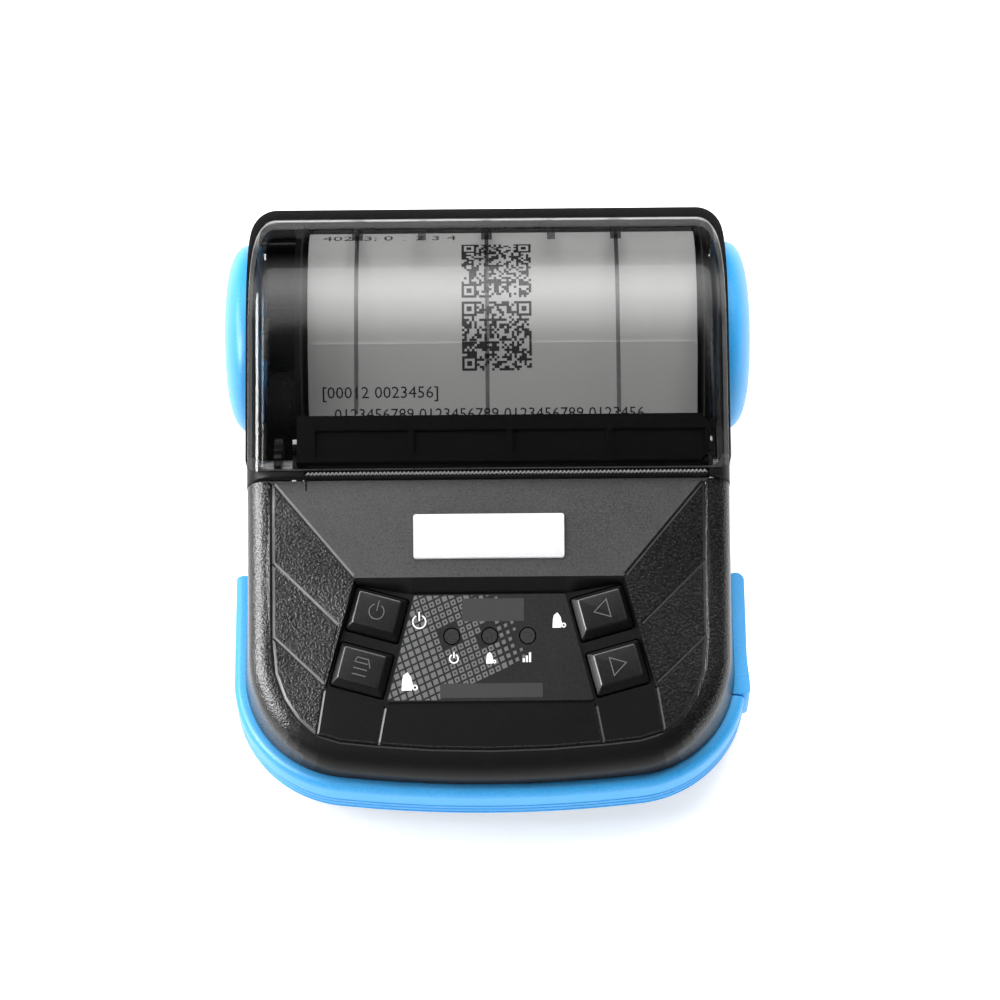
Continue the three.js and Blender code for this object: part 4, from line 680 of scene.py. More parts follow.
def rim_rings(skin, inset, radius, surface):
    """Rings of the outer or inner wall, from its bottom edge to the end of its rounded rim."""
    rings = [skin.lay(outline(inset, DECK_REAR_Y, DECK_BREAKS), SHELL_BOTTOM_Z)]
    for i in range(RIM_STEPS + 1):
        angle = math.pi / 2 * i / RIM_STEPS
        plan = outline(inset + radius * (1 - math.cos(angle)), DECK_REAR_Y, DECK_BREAKS)
        sunk = radius * (1 - math.sin(angle))
        rings.append(skin.lay([(x * TOP_SHARE, y) for x, y in plan], lambda y: surface(y) - sunk))
    skin.loft(rings, closed=False)
    return rings


def deck_look(x, y):
    """The look of each place on the deck: a painted highlight on a groove's wall that faces the light, satin
    painted lighter on the upper field, a darker and duller copy as painted shade in front, or grained.
    """
    for kind, away, span, share, beside in segments_from(x, y):
        offset = away - span * share
        if beside and offset.length <= LINE_SIZES[kind][0] / 2:
            across = -offset.x if kind == "rim" and x > RIM_TURN_X else offset.x
            # The wall that faces the light gets a painted highlight: lighter grey on the left, dimmer to the
            # right.
            if across - LIT_SLOPE * offset.y > 0:
                return HIGHLIGHT_WALL if x < HIGHLIGHT_WALL_X and not (kind == "rim" and x > -RIM_TURN_X) else DIM_HIGHLIGHT_WALL
            return GRAINED
    # The upper field: satin, painted lighter as if lit.
    if in_polygon(x, y, TRAPEZOID):
        return LIT_SATIN
    # In front of the side facets: the darker, duller copy, as painted shade.
    reach = FIELD_CORNER[0] - (y - FIELD_CORNER[1]) * FIELD_LEAN
    return SMOOTH_SHADE if y < FIELD_REAR_Y and abs(x) < reach else GRAINED


def top_shell():
    skin = Skin()
    outer = rim_rings(skin, 0, RIM_RADIUS, deck_z)
    # Towards the front the rim steps through darker, duller copies of the black: painted shade.
    for number, corners in enumerate(skin.faces):
        reach = sum(abs(skin.points[c][0]) for c in corners) / len(corners)
        if max(skin.points[c][1] for c in corners) < RIM_FADE_Y:
            skin.looks[number] = next((look for edge, look in RIM_PAINTED_SHADES if reach < edge), GRAINED)
    inner = rim_rings(skin, WALL, RIM_RADIUS - WALL, ceiling_z)
    flat_half = (HALF_WIDTH - RIM_RADIUS) * TOP_SHARE
    rear = [(i * flat_half / 12, DECK_REAR_Y) for i in range(-11, 12)]
    rear_rows = [skin.lay(rear, surface) for surface in (deck_z, ceiling_z)]
    skin.strip(*(
        [ring[-1] for ring in rings] + row + [ring[0] for ring in reversed(rings)]
        for rings, row in zip((outer, inner), rear_rows)
    ))
    skin.strip(outer[0], inner[0])

    rim = [(x * TOP_SHARE, y) for x, y in outline(RIM_RADIUS, DECK_REAR_Y, DECK_BREAKS)] + rear
    pocket_top = skin.lay(POCKET_TOP, deck_z)
    extra, extra_edges = [], []
    groove_constraints(extra, extra_edges)
    fill = [(x + FILL_SHIFT, y) for x in range(-42, 43, 4) for y in FILL_ROWS]
    extra += [place for place in fill if groove_depth(*place) == 0]
    holed_surface(
        skin, [(outer[-1] + rear_rows[0], rim), (pocket_top, POCKET_TOP)],
        lambda x, y: deck_z(y) - groove_depth(x, y), extra, extra_edges, deck_look,
    )
    floor = skin.lay(POCKET_FLOOR, panel_z)
    # The pocket's walls and floor take the darker, duller copy: painted shade in the recess.
    skin.strip(pocket_top, floor, closed=True, look=SMOOTH_SHADE)
    holes = panel_holes()
    upper, lower = ([skin.lay(hole, surface) for hole in holes] for surface in (panel_z, ceiling_z))
    for high, low in zip(upper, lower):
        skin.strip(high, low, closed=True)
    holed_surface(
        skin, [(floor, POCKET_FLOOR), *zip(upper, holes)], lambda x, y: panel_z(y), look=lambda x, y: SMOOTH_SHADE)
    lines = [(x, y) for y in (CEILING_BREAK_Y, CREASE_Y) for x in (-flat_half + 0.01, flat_half - 0.01)]
    holed_surface(
        skin, [(inner[-1] + rear_rows[1], rim), *zip(lower, holes)], lambda x, y: ceiling_z(y),
        lines, [(0, 1), (2, 3)],
    )
    return skin


LEVER_LOW, LEVER_HIGH = box_mm("latch_lever_right")
LEVER_ROOM_Z, LEVER_ROOM_DEPTH = (36.2, 42.5), 1.5
CHEEK_INNER_X = 47.4
CHEEK_FRONT_TOP_Z, CHEEK_REAR_TOP_Z = 29.6, 27.3


def cheek_outline():
    """The side cheek with the ring round its button, open at the bottom where the lower housing
    takes over."""
    bottom = SHELL_BOTTOM_Z
    hole_half = math.sqrt(RING_HOLE**2 - (BUTTON_Z - bottom) ** 2)
    hole_angle = math.degrees(math.asin((BUTTON_Z - bottom) / RING_HOLE))
    front_angle = 180 - math.degrees(math.asin((CHEEK_FRONT_TOP_Z - BUTTON_Z) / RING_OUTER))
    rear_angle = math.degrees(math.asin((CHEEK_REAR_TOP_Z - BUTTON_Z) / RING_OUTER))
    front_y = BUTTON_Y + RING_OUTER * math.cos(math.radians(front_angle))
    return [
        (DECK_REAR_Y + 0.02, bottom), (BUTTON_Y - hole_half, bottom),
        *arc(BUTTON_Y, BUTTON_Z, RING_HOLE, 180 + hole_angle, -hole_angle, 60)[1:-1],
        (BUTTON_Y + hole_half, bottom), (HINGE_Y + 0.2, bottom),
        *arc(HINGE_Y, HINGE_Z, CHEEK_REAR_TOP_Z - HINGE_Z, -60, 90, 12),
        *arc(BUTTON_Y, BUTTON_Z, RING_OUTER, rear_angle, front_angle, 60)[:-1],
        (front_y, CHEEK_FRONT_TOP_Z), (DECK_REAR_Y + 0.02, CHEEK_FRONT_TOP_Z),
    ]


def top_housing():
    shell = object_from("top_housing_skin", top_shell())
    slit = (SLIT_X - SLIT_HALF, SLIT_X + SLIT_HALF, SLIT_FRONT_Y, DECK_REAR_Y + 1)
    rooms = [block(*slit, DECK_REAR_Z - SLIT_DEPTH, DECK_REAR_Z + 1)]
    for side in (-1, 1):
        x0, x1 = sorted((side * (LEVER_LOW.x - FIT), side * (LEVER_HIGH.x + FIT)))
        rooms.append(block(x0, x1, DECK_REAR_Y - LEVER_ROOM_DEPTH, DECK_REAR_Y + 1, *LEVER_ROOM_Z))
    boolean(shell, rooms)
    work = bmesh.new()
    work.from_mesh(shell.data)
    for side in (-1, 1):
        ends = sorted((side * CHEEK_INNER_X, side * HALF_WIDTH))
        cheek = object_from("cheek", prism(cheek_outline(), *ends))
        for vertex in cheek.data.vertices:
            if abs(vertex.co.x) > CHEEK_INNER_X + 1:
                rise = (vertex.co.z - SHELL_BOTTOM_Z) / (DECK_REAR_Z - RIM_RADIUS - SHELL_BOTTOM_Z)
                vertex.co.x -= side * TOP_DRAFT * max(0.0, min(1.0, rise))
        work.from_mesh(soften(cheek, 0.35).data)
        bpy.data.objects.remove(cheek)
    work.to_mesh(shell.data)
    work.free()
    return shell


finish_piece(top_housing(), "root", TOP_LOOKS, ["top_housing"], TOP_SHARP)


# Lower housing
BAND_LOW, BAND_HIGH = box_mm("bumper_band")
BAND_BOTTOM_Z, BAND_TOP_Z = BAND_LOW.z, BAND_HIGH.z
BAND_RECESS = 1.2
BAND_START_Y = BAND_HIGH.y
SPLIT_Z = 17.6
REAR_RADIUS, REAR_TOP_Z = 27.5, 26
BOTTOM_ROUND, ROUND_STEPS = 3, 6
BAY_Z, BAY_RADIUS = 28.5, 25.6
BAY_LEFT_X, BAY_RIGHT_X = -37.8, 44
BAY_END_WALL = 1.2
BAY_FRONT_TOP_Z = 23
SLEEVE_X = 45.3
FRONT_ROOM_Y, EAR_ROOM_Y, BEHIND, ABOVE = 5.5, (52, 66), 70, 60
PORT_ROOM = (-38.5, -17, 8, 16.5)
SCREWS = [(-39.5, -44), (39.5, -44), (-42.4, 2), (42.4, 2)]
BOSS_RADIUS, SCREW_HOLE, HEAD_HOLE, HEAD_SINK, PIN_HOLE = 4.2, 1.7, 2.9, 3.1, 1.6
BATTERY_LOW, BATTERY_HIGH = box_mm("battery_pack")


def plan_prism(inset, rear_y, z0, z1):
    skin = Skin()
    return skin.body([skin.lay(outline(inset, rear_y), z) for z in (z0, z1)])


def bottom_housing():
    skin = Skin()
    rings = []
    for i in range(ROUND_STEPS + 1):
        angle = math.pi / 2 * i / ROUND_STEPS
        inset = BOTTOM_ROUND * (1 - math.sin(angle))
        rings.append(skin.lay(outline(inset, DOME_Y), BOTTOM_ROUND * (1 - math.cos(angle))))
    rings.append(skin.lay(outline(0, DOME_Y), SPLIT_Z))
    body = object_from("bottom_housing_skin", skin.body(rings))
    rear_top = math.degrees(math.asin((DOME_Z - REAR_TOP_Z) / REAR_RADIUS))
    rear_profile = [
        (CREASE_Y + WALL, BOTTOM_ROUND), (DOME_Y, DOME_Z - REAR_RADIUS),
        *arc(DOME_Y, DOME_Z, REAR_RADIUS, -89, -rear_top, 48),
        (HINGE_Y - BEYOND, REAR_TOP_Z), (HINGE_Y - BEYOND, SPLIT_Z), (CREASE_Y + WALL, SPLIT_Z),
    ]
    left_end, right_end = BAY_LEFT_X - BAY_END_WALL, BAY_RIGHT_X + BAY_END_WALL
    bay_back = BAY_RADIUS + WALL
    front_wall = object_from("front_wall", rod_x(left_end, right_end, DOME_Y, BAY_Z, bay_back, BORE_STEPS))
    kept = block(-HALF_WIDTH, HALF_WIDTH, 0, DOME_Y / 2, WALL, BAY_FRONT_TOP_Z)
    boolean(front_wall, [kept], "INTERSECT")
    boolean(body, [prism(rear_profile, -HALF_WIDTH + 0.001, HALF_WIDTH - 0.001), front_wall], "UNION")

    far, pocket_x = HALF_WIDTH + BEYOND, CHEEK_INNER_X - 0.1
    under_bay = [(0, WALL)] + arc(DOME_Y, BAY_Z, bay_back, 254, 197, 20) + [(0, BAY_FRONT_TOP_Z)]
    band_room = object_from(
        "band_room", plan_prism(-BEYOND, BAND_START_Y + FIT, BAND_BOTTOM_Z - FIT, SPLIT_Z + BEYOND))
    boolean(band_room, [plan_prism(BAND_RECESS, DOME_Y, 0, SPLIT_Z + 2 * BEYOND)])
    boolean(body, [
        band_room,
        plan_prism(BAND_RECESS + WALL, FRONT_ROOM_Y, WALL, SPLIT_Z + BEYOND),
        prism(under_bay, -CHEEK_INNER_X + 1, CHEEK_INNER_X - 1),
        rod_x(BAY_LEFT_X, BAY_RIGHT_X, DOME_Y, BAY_Z, BAY_RADIUS, BORE_STEPS),
        rod_x(-pocket_x, left_end, DOME_Y, BAY_Z, BAY_RADIUS - FIT, BORE_STEPS),
        rod_x(right_end, pocket_x, DOME_Y, BAY_Z, BAY_RADIUS - FIT, BORE_STEPS),
        block(-pocket_x - BEYOND, left_end, *EAR_ROOM_Y, HINGE_Z - KNUCKLE - 1, ABOVE),
        block(right_end, pocket_x + BEYOND, *EAR_ROOM_Y, HINGE_Z - KNUCKLE - 1, ABOVE),
        block(-far, -pocket_x + FIT, -DOME_Y, BEHIND, SPLIT_Z, ABOVE),
        block(pocket_x - FIT, far, -DOME_Y, BEHIND, SPLIT_Z, ABOVE),
        block(HALF_WIDTH - BEYOND, far, *PORT_ROOM),
        block(
            BATTERY_LOW.x - FIT, BATTERY_HIGH.x + FIT, BATTERY_LOW.y - FIT, BATTERY_HIGH.y + FIT,
            -BEYOND, WALL + BEYOND,
        ),
        *(rod_x(side * SLEEVE_X, side * far, BUTTON_Y, BUTTON_Z, RING_HOLE, BORE_STEPS) for side in (-1, 1)),
    ])
    bosses = [rod_z(x, y, 1, SPLIT_Z, BOSS_RADIUS) for x, y in SCREWS]
    ears = [(left_end, BAY_LEFT_X), (BAY_RIGHT_X, right_end)]
    boolean(body, bosses + [rod_x(*ends, HINGE_Y, HINGE_Z, KNUCKLE) for ends in ears], "UNION")
    boolean(body, [
        *(rod_z(x, y, -BEYOND, SPLIT_Z + BEYOND, SCREW_HOLE) for x, y in SCREWS),
        *(rod_z(x, y, -BEYOND, HEAD_SINK, HEAD_HOLE) for x, y in SCREWS),
        rod_x(BAY_LEFT_X - WALL, BAY_RIGHT_X + WALL, HINGE_Y, HINGE_Z, PIN_HOLE),
    ])
    return body


finish_piece(bottom_housing(), "root", [BLACK], ["bottom_housing"])


# Blue bumper band, port flap and side buttons
FLAP_LOW, FLAP_HIGH = box_mm("port_flap")
BAND_RIGHT_END_Y = FLAP_LOW.y - FIT
BAND_PROUD, BAND_EDGE, BAND_SOFT = 2.4, 1.2, 1.8
BAND_GROOVES = (8.1, 9.7, 11.3)
BAND_GROOVE_WIDTH, BAND_GROOVE_DEPTH = 0.7, 0.28
CORNER_STEPS, FRONT_STEPS, SIDE_STEPS = 30, 24, 8


def band_profile():
    """The band's cross-section as (distance out from the body, height), anticlockwise."""
    inner, half = FIT - BAND_RECESS, BAND_GROOVE_WIDTH / 2
    profile = [(inner, BAND_BOTTOM_Z), (BAND_PROUD - BAND_EDGE, BAND_BOTTOM_Z)]
    profile += arc(BAND_PROUD - BAND_EDGE, BAND_BOTTOM_Z + BAND_EDGE, BAND_EDGE, -75, 0, 5)
    for z in BAND_GROOVES:
        cut = BAND_PROUD - BAND_GROOVE_DEPTH
        profile += [(BAND_PROUD, z - half), (cut, z - half / 4), (cut, z + half / 4), (BAND_PROUD, z + half)]
    profile += arc(BAND_PROUD - BAND_SOFT, BAND_TOP_Z - BAND_SOFT, BAND_SOFT, 0, 90, 8)
    return profile + [(inner, BAND_TOP_Z)]


def band_path(offset):
    """The outline at one offset, cut flat at its two ends."""
    radius = CORNER_RADIUS + offset
    start = math.asin((BAND_RIGHT_END_Y - CORNER_Y) / radius) if BAND_RIGHT_END_Y < CORNER_Y else 0
    front_turn = -2 * (math.pi / 2 + MEET_ANGLE)
    path = sweep(CORNER_X, CORNER_Y, radius, start, MEET_ANGLE - start, CORNER_STEPS)
    path += sweep(0, FRONT_CENTRE_Y, FRONT_RADIUS + offset, MEET_ANGLE, front_turn, 2 * FRONT_STEPS)[1:-1]
    left = sweep(CORNER_X, CORNER_Y, radius, MEET_ANGLE, -MEET_ANGLE, CORNER_STEPS)
    path += [(-x, y) for x, y in left]
    rise = BAND_START_Y - CORNER_Y
    return path + [(-HALF_WIDTH - offset, CORNER_Y + rise * i / SIDE_STEPS) for i in range(1, SIDE_STEPS + 1)]


def bumper_band():
    skin = Skin()
    rows = [skin.lay(band_path(offset), z) for offset, z in band_profile()]
    skin.loft(rows + rows[:1], closed=False)
    for end in (0, -1):
        skin.face([row[end] for row in rows])
    return soften(object_from("blue_band", skin), 0.55, 3, 62)


def port_flap():
    inner_x, thickness = FLAP_LOW.x, 3.5
    outer_x, lip_x = inner_x + thickness, FLAP_HIGH.x
    flare, edge, steps = 8, 1.0, 10
    plan = arc((inner_x + outer_x) / 2, FLAP_HIGH.y - thickness / 2, thickness / 2, 0, 180, 20)
    plan += [(inner_x, FLAP_LOW.y)]
    plan += arc(lip_x - edge, FLAP_LOW.y + edge, edge, -90, 0, 8)
    for i in range(1, steps + 1):
        t = i / steps
        plan.append((lip_x - (lip_x - outer_x) * t * t * (3 - 2 * t), FLAP_LOW.y + edge + flare * t))
    return soften(object_from("blue_flap", prism(plan, FLAP_LOW.z, FLAP_HIGH.z, "z")), 0.6, 3, 55)


def release_button(side):
    """A crowned disc turned about its axis, hollow behind."""
    rim_x, back_x, top_x, shell = 49.4, 47.0, box_mm("release_button_right")[1].x, 2.2
    steps, crown_steps, crown, crown_reach, crown_rise = 96, 18, top_x - rim_x, 0.62, 0.9
    profile = [(0, back_x + shell), (BUTTON_RADIUS - shell, back_x + shell), (BUTTON_RADIUS - shell, back_x)]
    profile += [(BUTTON_RADIUS - 0.3, back_x), (BUTTON_RADIUS, back_x + 0.3), (BUTTON_RADIUS, rim_x)]
    for i in range(1, crown_steps):
        angle = math.pi / 2 * i / crown_steps
        reach = BUTTON_RADIUS * math.cos(angle) ** crown_reach
        profile.append((reach, rim_x + crown * math.sin(angle) ** crown_rise))
    profile.append((0, top_x))
    skin = Skin()
    rings = []
    for radius, travel in profile:
        plan = circle(0, 0, radius, steps) if radius else [(0, 0)]
        rings.append(skin.section(side * travel, [(BUTTON_Y + u, BUTTON_Z + v) for u, v in plan]))
    skin.loft(rings[1:-1])
    for (tip,), ring in ((rings[0], rings[1]), (rings[-1], rings[-2])):
        for i in range(steps):
            skin.face((tip, ring[i], ring[(i + 1) % steps]))
    return object_from("blue_button_left" if side < 0 else "blue_button_right", skin)


finish_piece(bumper_band(), "root", [BLUE], ["bumper_band"])
finish_piece(port_flap(), "flap", [BLUE], ["port_flap"])
finish_piece(release_button(-1), "release_left", [BLUE], ["release_button_left"])
finish_piece(release_button(1), "release_right", [BLUE], ["release_button_right"])


# Smoked cover
FRONT_DROP, FRONT_RUN = DOME_Z - COVER_FRONT_Z, DOME_Y - COVER_FRONT_Y
COVER_ANGLE = math.atan2(FRONT_DROP, FRONT_RUN) + math.asin(DOME_RADIUS / math.hypot(FRONT_RUN, FRONT_DROP))
RIBS, RIB_WIDTH, RIB_DEPTH, RIB_FRONT_Y = (-26.4, 0, 26.4), 0.8, 0.6, 8.6
FEET = ((-26.4, 2.2), (-13.2, 1.6), (0, 2.2), (13.2, 1.6), (26.4, 2.2))
FOOT_DEPTH, FOOT_FIRST, FOOT_LAST = 0.5, -62, -30
OVERLAP = 0.1
BAR_LOW, BAR_HIGH = box_mm("tear_bar")
ARMS, ARM_INSET, ARM_LEAN = ((-46.5, -39.3), (45.5, 47.1)), 1, 4
SEAM_Y, SEAM_REACH, SEAM_STEPS = -3.55, 4.9, 12
SILL_SINK, SILL_LOW_Z = 0.35, 20
COVER_RING = RING_OUTER + 0.4
COVER_LOOKS = [COVER, COVER_DARK, COVER_INNER, COVER_SEAM_HIGHLIGHT]
CLEAR, DARK, INSIDE, SEAM_HIGHLIGHT = range(4)
SQUARE = 0.97


def cover_top_z(y):
    """The straight front part of the cover's top, which meets the dome as a tangent."""
    return COVER_FRONT_Z + math.tan(COVER_ANGLE) * (y - COVER_FRONT_Y)


def cover_profile(inset, front_y, bottom_z):
    top = cover_top_z(front_y) - inset / math.cos(COVER_ANGLE)
    dome = arc(DOME_Y, DOME_Z, DOME_RADIUS - inset, 0, 90 + math.degrees(COVER_ANGLE), 56)
    y0, z0 = dome[-1]
    straight = [(y0 + (front_y - y0) * i / 6, z0 + (top - z0) * i / 6) for i in range(1, 6)]
    rear_y = DOME_Y + DOME_RADIUS - inset
    return [(rear_y, bottom_z), *dome, *straight, (front_y, top), (front_y, bottom_z)]


def cover_blank(half_width, edge, inset, front_y, bottom_z):
    stations = []
    for i in range(10):
        angle = math.pi / 2 * i / 9
        stations.append((half_width - edge * (1 - math.sin(angle)), edge * (1 - math.cos(angle))))
    middle = half_width - edge
    rows = [(-x, s) for x, s in reversed(stations)] + [(-middle / 3, 0), (middle / 3, 0)] + stations
    skin = Skin()
    return skin.body([skin.section(x, cover_profile(inset + s, front_y, bottom_z)) for x, s in rows])


def cover_arm(x0, x1):
    rear_y = DOME_Y + DOME_RADIUS - ARM_INSET
    lean_y = DOME_Y + DOME_RADIUS - ARM_LEAN
    points = arc(HINGE_Y, HINGE_Z, KNUCKLE, 180, 360, 16)
    points += [(rear_y, COVER_REAR_Z), (rear_y, SKIRT_Z + WALL), (lean_y, SKIRT_Z + ARM_LEAN)]
    return prism(points, x0, x1)


def sill_room(grow):
    """A prism in front of the seam, which runs back where it goes down the sides."""
    far, front_y, top_z = COVER_HALF + BEYOND, COVER_FRONT_Y - BEYOND, COVER_FRONT_Z + BEYOND
    curve = []
    for i in range(SEAM_STEPS + 1):
        y = SEAM_Y + SEAM_REACH * (i / SEAM_STEPS) ** 1.5
        curve.append((y + grow, cover_top_z(y) - COVER_EDGE * i / SEAM_STEPS))
    ends = [(front_y, SILL_LOW_Z), (curve[-1][0], SILL_LOW_Z)]
    return prism(ends + curve[::-1] + [(curve[0][0], top_z), (front_y, top_z)], -far, far)


def cut_cover(name, half_width, edge, inset):
    """The cover's closed form less its inside, its button openings and the tear bar's place."""
    piece = object_from(name, cover_blank(half_width, edge, inset, COVER_FRONT_Y, COVER_REAR_Z))
    far, front_y, low_z = COVER_HALF + BEYOND, COVER_FRONT_Y - BEYOND, COVER_REAR_Z - BEYOND
    boolean(piece, [
        cover_blank(COVER_HALF - WALL, COVER_EDGE - WALL, WALL, front_y, low_z),
        block(-far, far, front_y, HINGE_Y - WALL, low_z, SKIRT_Z),
        rod_x(-far, -COVER_HALF + BEYOND, BUTTON_Y, BUTTON_Z, COVER_RING, BORE_STEPS),
        rod_x(COVER_HALF - BEYOND, far, BUTTON_Y, BUTTON_Z, COVER_RING, BORE_STEPS),
        block(
            BAR_LOW.x - FIT, BAR_HIGH.x + FIT, front_y, BAR_HIGH.y + FIT,
            BAR_LOW.z - BEYOND, COVER_FRONT_Z + BEYOND,
        ),
    ])
    return piece


def paper_cover():
    shell = cut_cover("smoked_cover", COVER_HALF, COVER_EDGE, 0)
    boolean(shell, [sill_room(0)])
    boolean(shell, [cover_arm(*ends) for ends in ARMS], "UNION")
    boolean(shell, [rod_x(-CHEEK_INNER_X, CHEEK_INNER_X, HINGE_Y, HINGE_Z, PIN_HOLE)])
    mark_edges(shell)
    return shell


def cover_sill():
    """The dark front edge of the cover, a little lower than its clear part."""
    sill = cut_cover("cover_sill", COVER_HALF - SILL_SINK, COVER_EDGE - SILL_SINK, SILL_SINK)
    boolean(sill, [sill_room(-0.02)], "INTERSECT")
    return soften(sill, 0.25, 2, 50)


def rib_foot(x, width):
    """A broad low rib under the front of the dome."""
    outer, inner = (
        arc(DOME_Y, DOME_Z, DOME_RADIUS - WALL - depth, 90 + FOOT_FIRST, 90 + FOOT_LAST, 24)
        for depth in (-OVERLAP, FOOT_DEPTH)
    )
    return prism(outer + inner[::-1], x - width / 2, x + width / 2)


def cover_rib(x):
    """A slim rib on the inside of the dome, from behind the platen holder to the rear edge."""
    insets = (WALL - OVERLAP, WALL + RIB_DEPTH)
    profiles = (cover_profile(inset, RIB_FRONT_Y, SKIRT_Z + 1) for inset in insets)
    outer, inner = (
        [(y, z) for y, z in profile[1:-1] if y >= RIB_FRONT_Y and z > SKIRT_Z] for profile in profiles)
    return prism(outer + inner[::-1], x - RIB_WIDTH / 2, x + RIB_WIDTH / 2)


def mark_edges(piece):
    """Sorts the faces of the cover: outside, dark thick edges, inside, and a painted highlight on the front
    edge at the seam.
    """
    for face in piece.data.polygons:
        normal, (x, y, z) = face.normal, face.center
        width = abs(x)
        level_edge = abs(normal.z) > SQUARE and z < SKIRT_Z + 0.1
        bar_edge = normal.y < -SQUARE and BAR_LOW.x - 1 < x < BAR_HIGH.x + 1 and y < BAR_HIGH.y + 1
        ring_edge = abs(math.hypot(y - BUTTON_Y, z - BUTTON_Z) - COVER_RING) < 0.15 and abs(normal.x) < 0.1
        arm = z < SKIRT_Z and y > HINGE_Y - 3 and width < CHEEK_INNER_X
        seam = y < SEAM_Y + SEAM_REACH + 0.2 and normal.y < -0.3 and abs(normal.x) < 0.3
        under = math.hypot(y - DOME_Y, z - DOME_Z) < DOME_RADIUS - 1 and y > DOME_Y
        inwards = normal.z < -0.02 or abs(normal.x) > 0.9 or (width < COVER_HALF - COVER_EDGE and under)
        if level_edge or bar_edge or ring_edge or arm:
            face.material_index = DARK
        # The front edge at the seam gets a painted highlight.
        elif seam:
            face.material_index = SEAM_HIGHLIGHT
        else:
            face.material_index = INSIDE if width < COVER_HALF - 1.9 and inwards else CLEAR


finish_piece(paper_cover(), "cover", COVER_LOOKS, ["paper_cover"])
finish_piece(cover_sill(), "cover", [SMOOTH_BLACK_AND_SHADE])
for number, rib_x in enumerate(RIBS, 1):
    rib = object_from(f"cover_rib_{number}", cover_rib(rib_x))
    finish_piece(rib, "cover", [COVER_RIB])
for number, (foot_x, foot_width) in enumerate(FEET, 1):
    foot = object_from(f"rib_foot_{number}", rib_foot(foot_x, foot_width))
    finish_piece(foot, "cover", [COVER_RIB if foot_width > 2 else COVER_FOOT])


# Tear bar
TOOTH_PITCH, TOOTH_HEIGHT = 0.8, 0.75


def tear_bar():
    count = int((BAR_HIGH.x - BAR_LOW.x) / TOOTH_PITCH)
    start = (BAR_LOW.x + BAR_HIGH.x - count * TOOTH_PITCH) / 2
    valley = BAR_HIGH.z - TOOTH_HEIGHT
    teeth = []
    for i in range(count):
        teeth += [(start + i * TOOTH_PITCH, valley), (start + (i + 0.5) * TOOTH_PITCH, BAR_HIGH.z)]
    points = [
        (BAR_LOW.x, BAR_LOW.z), (BAR_HIGH.x, BAR_LOW.z), (BAR_HIGH.x, valley),
        (start + count * TOOTH_PITCH, valley), *teeth[::-1], (BAR_LOW.x, valley),
    ]
    clean = [p for i, p in enumerate(points) if math.dist(p, points[i - 1]) > 1e-3]
    bar = object_from("toothed_bar", prism(clean, BAR_LOW.y, BAR_HIGH.y, "y"))
    for face in bar.data.polygons:
        # The slanted faces of the teeth get the painted highlight.
        face.material_index = 1 if 0.2 < face.normal.z < 0.9 else 0
    return bar


finish_piece(tear_bar(), "cover", [KEY_BLACK, TOOTH_HIGHLIGHT], ["tear_bar"])


# Keys with raised marks
KEY_STRAIGHT, KEY_RISE, KEY_INSET = 0.5, 1.9, 1.2
KEY_RINGS = (
    (0.9, -3, 0.5), (0.9, -2.3, 0.5), (0, -2.25, 0.5),
    (0, KEY_STRAIGHT - 0.12, 0.5), (-0.1, KEY_STRAIGHT, 0.45),
    (-KEY_INSET + 0.16, KEY_RISE - 0.14, 0.35), (-KEY_INSET, KEY_RISE - 0.03, 0.3),
    (-KEY_INSET - 0.16, KEY_RISE, 0.25),
)
MARK_WIDTH, MARK_SINK, MARK_RISE = 0.26, 0.1, 0.12
CREST, MITRE = 0.55, 0.35


def on_panel(x, y, rise):
    return x, y, panel_z(y) + rise


def stroke(placed, path, width, low, high, closed=False):
    """A raised line of trapezoid section along a path on a surface."""
    skin = Skin()
    sides = [(-width / 2, low), (width / 2, low), (width / 2 * CREST, high), (-width / 2 * CREST, high)]
    rows = []
    for i, (x, y) in enumerate(path):
        before = path[i - 1] if closed or i > 0 else path[i]
        after = path[(i + 1) % len(path)] if closed or i < len(path) - 1 else path[i]
        first = Vector((x - before[0], y - before[1]))
        second = Vector((after[0] - x, after[1] - y))
        first = first.normalized() if first.length > 1e-9 else second.normalized()
        second = second.normalized() if second.length > 1e-9 else first
        along = (first + second).normalized()
        normal = Vector((-along.y, along.x)) / max(MITRE, along.dot(first))
        rows.append(skin.ring([placed(x + normal.x * s, y + normal.y * s, rise) for s, rise in sides]))
    if closed:
        skin.loft(rows + rows[:1])
    else:
        skin.body(rows)
    return skin


def power_mark(radius):
    return [(arc(0, 0, radius, 118, 422, 24), False), ([(0, radius * 0.1), (0, radius * 1.5)], False)]


def arrow_mark(direction):
    return [([(direction * 1.7, 0), (-direction * 1.3, 1.8), (-direction * 1.3, -1.8)], True)]


FEED_MARK = [
    ([(-1.6, 0.75), (-1.3, 1.7), (1.0, 1.7), (1.65, 0.15)], False), ([(-1.6, 0.75), (1.0, 0.75)], False),
    ([(-1.6, -0.45), (1.2, -0.45)], False), ([(-1.6, -1.65), (1.2, -1.65)], False),
]
MARKS = {"power": power_mark(1.5), "feed": FEED_MARK, "back": arrow_mark(-1), "forward": arrow_mark(1)}


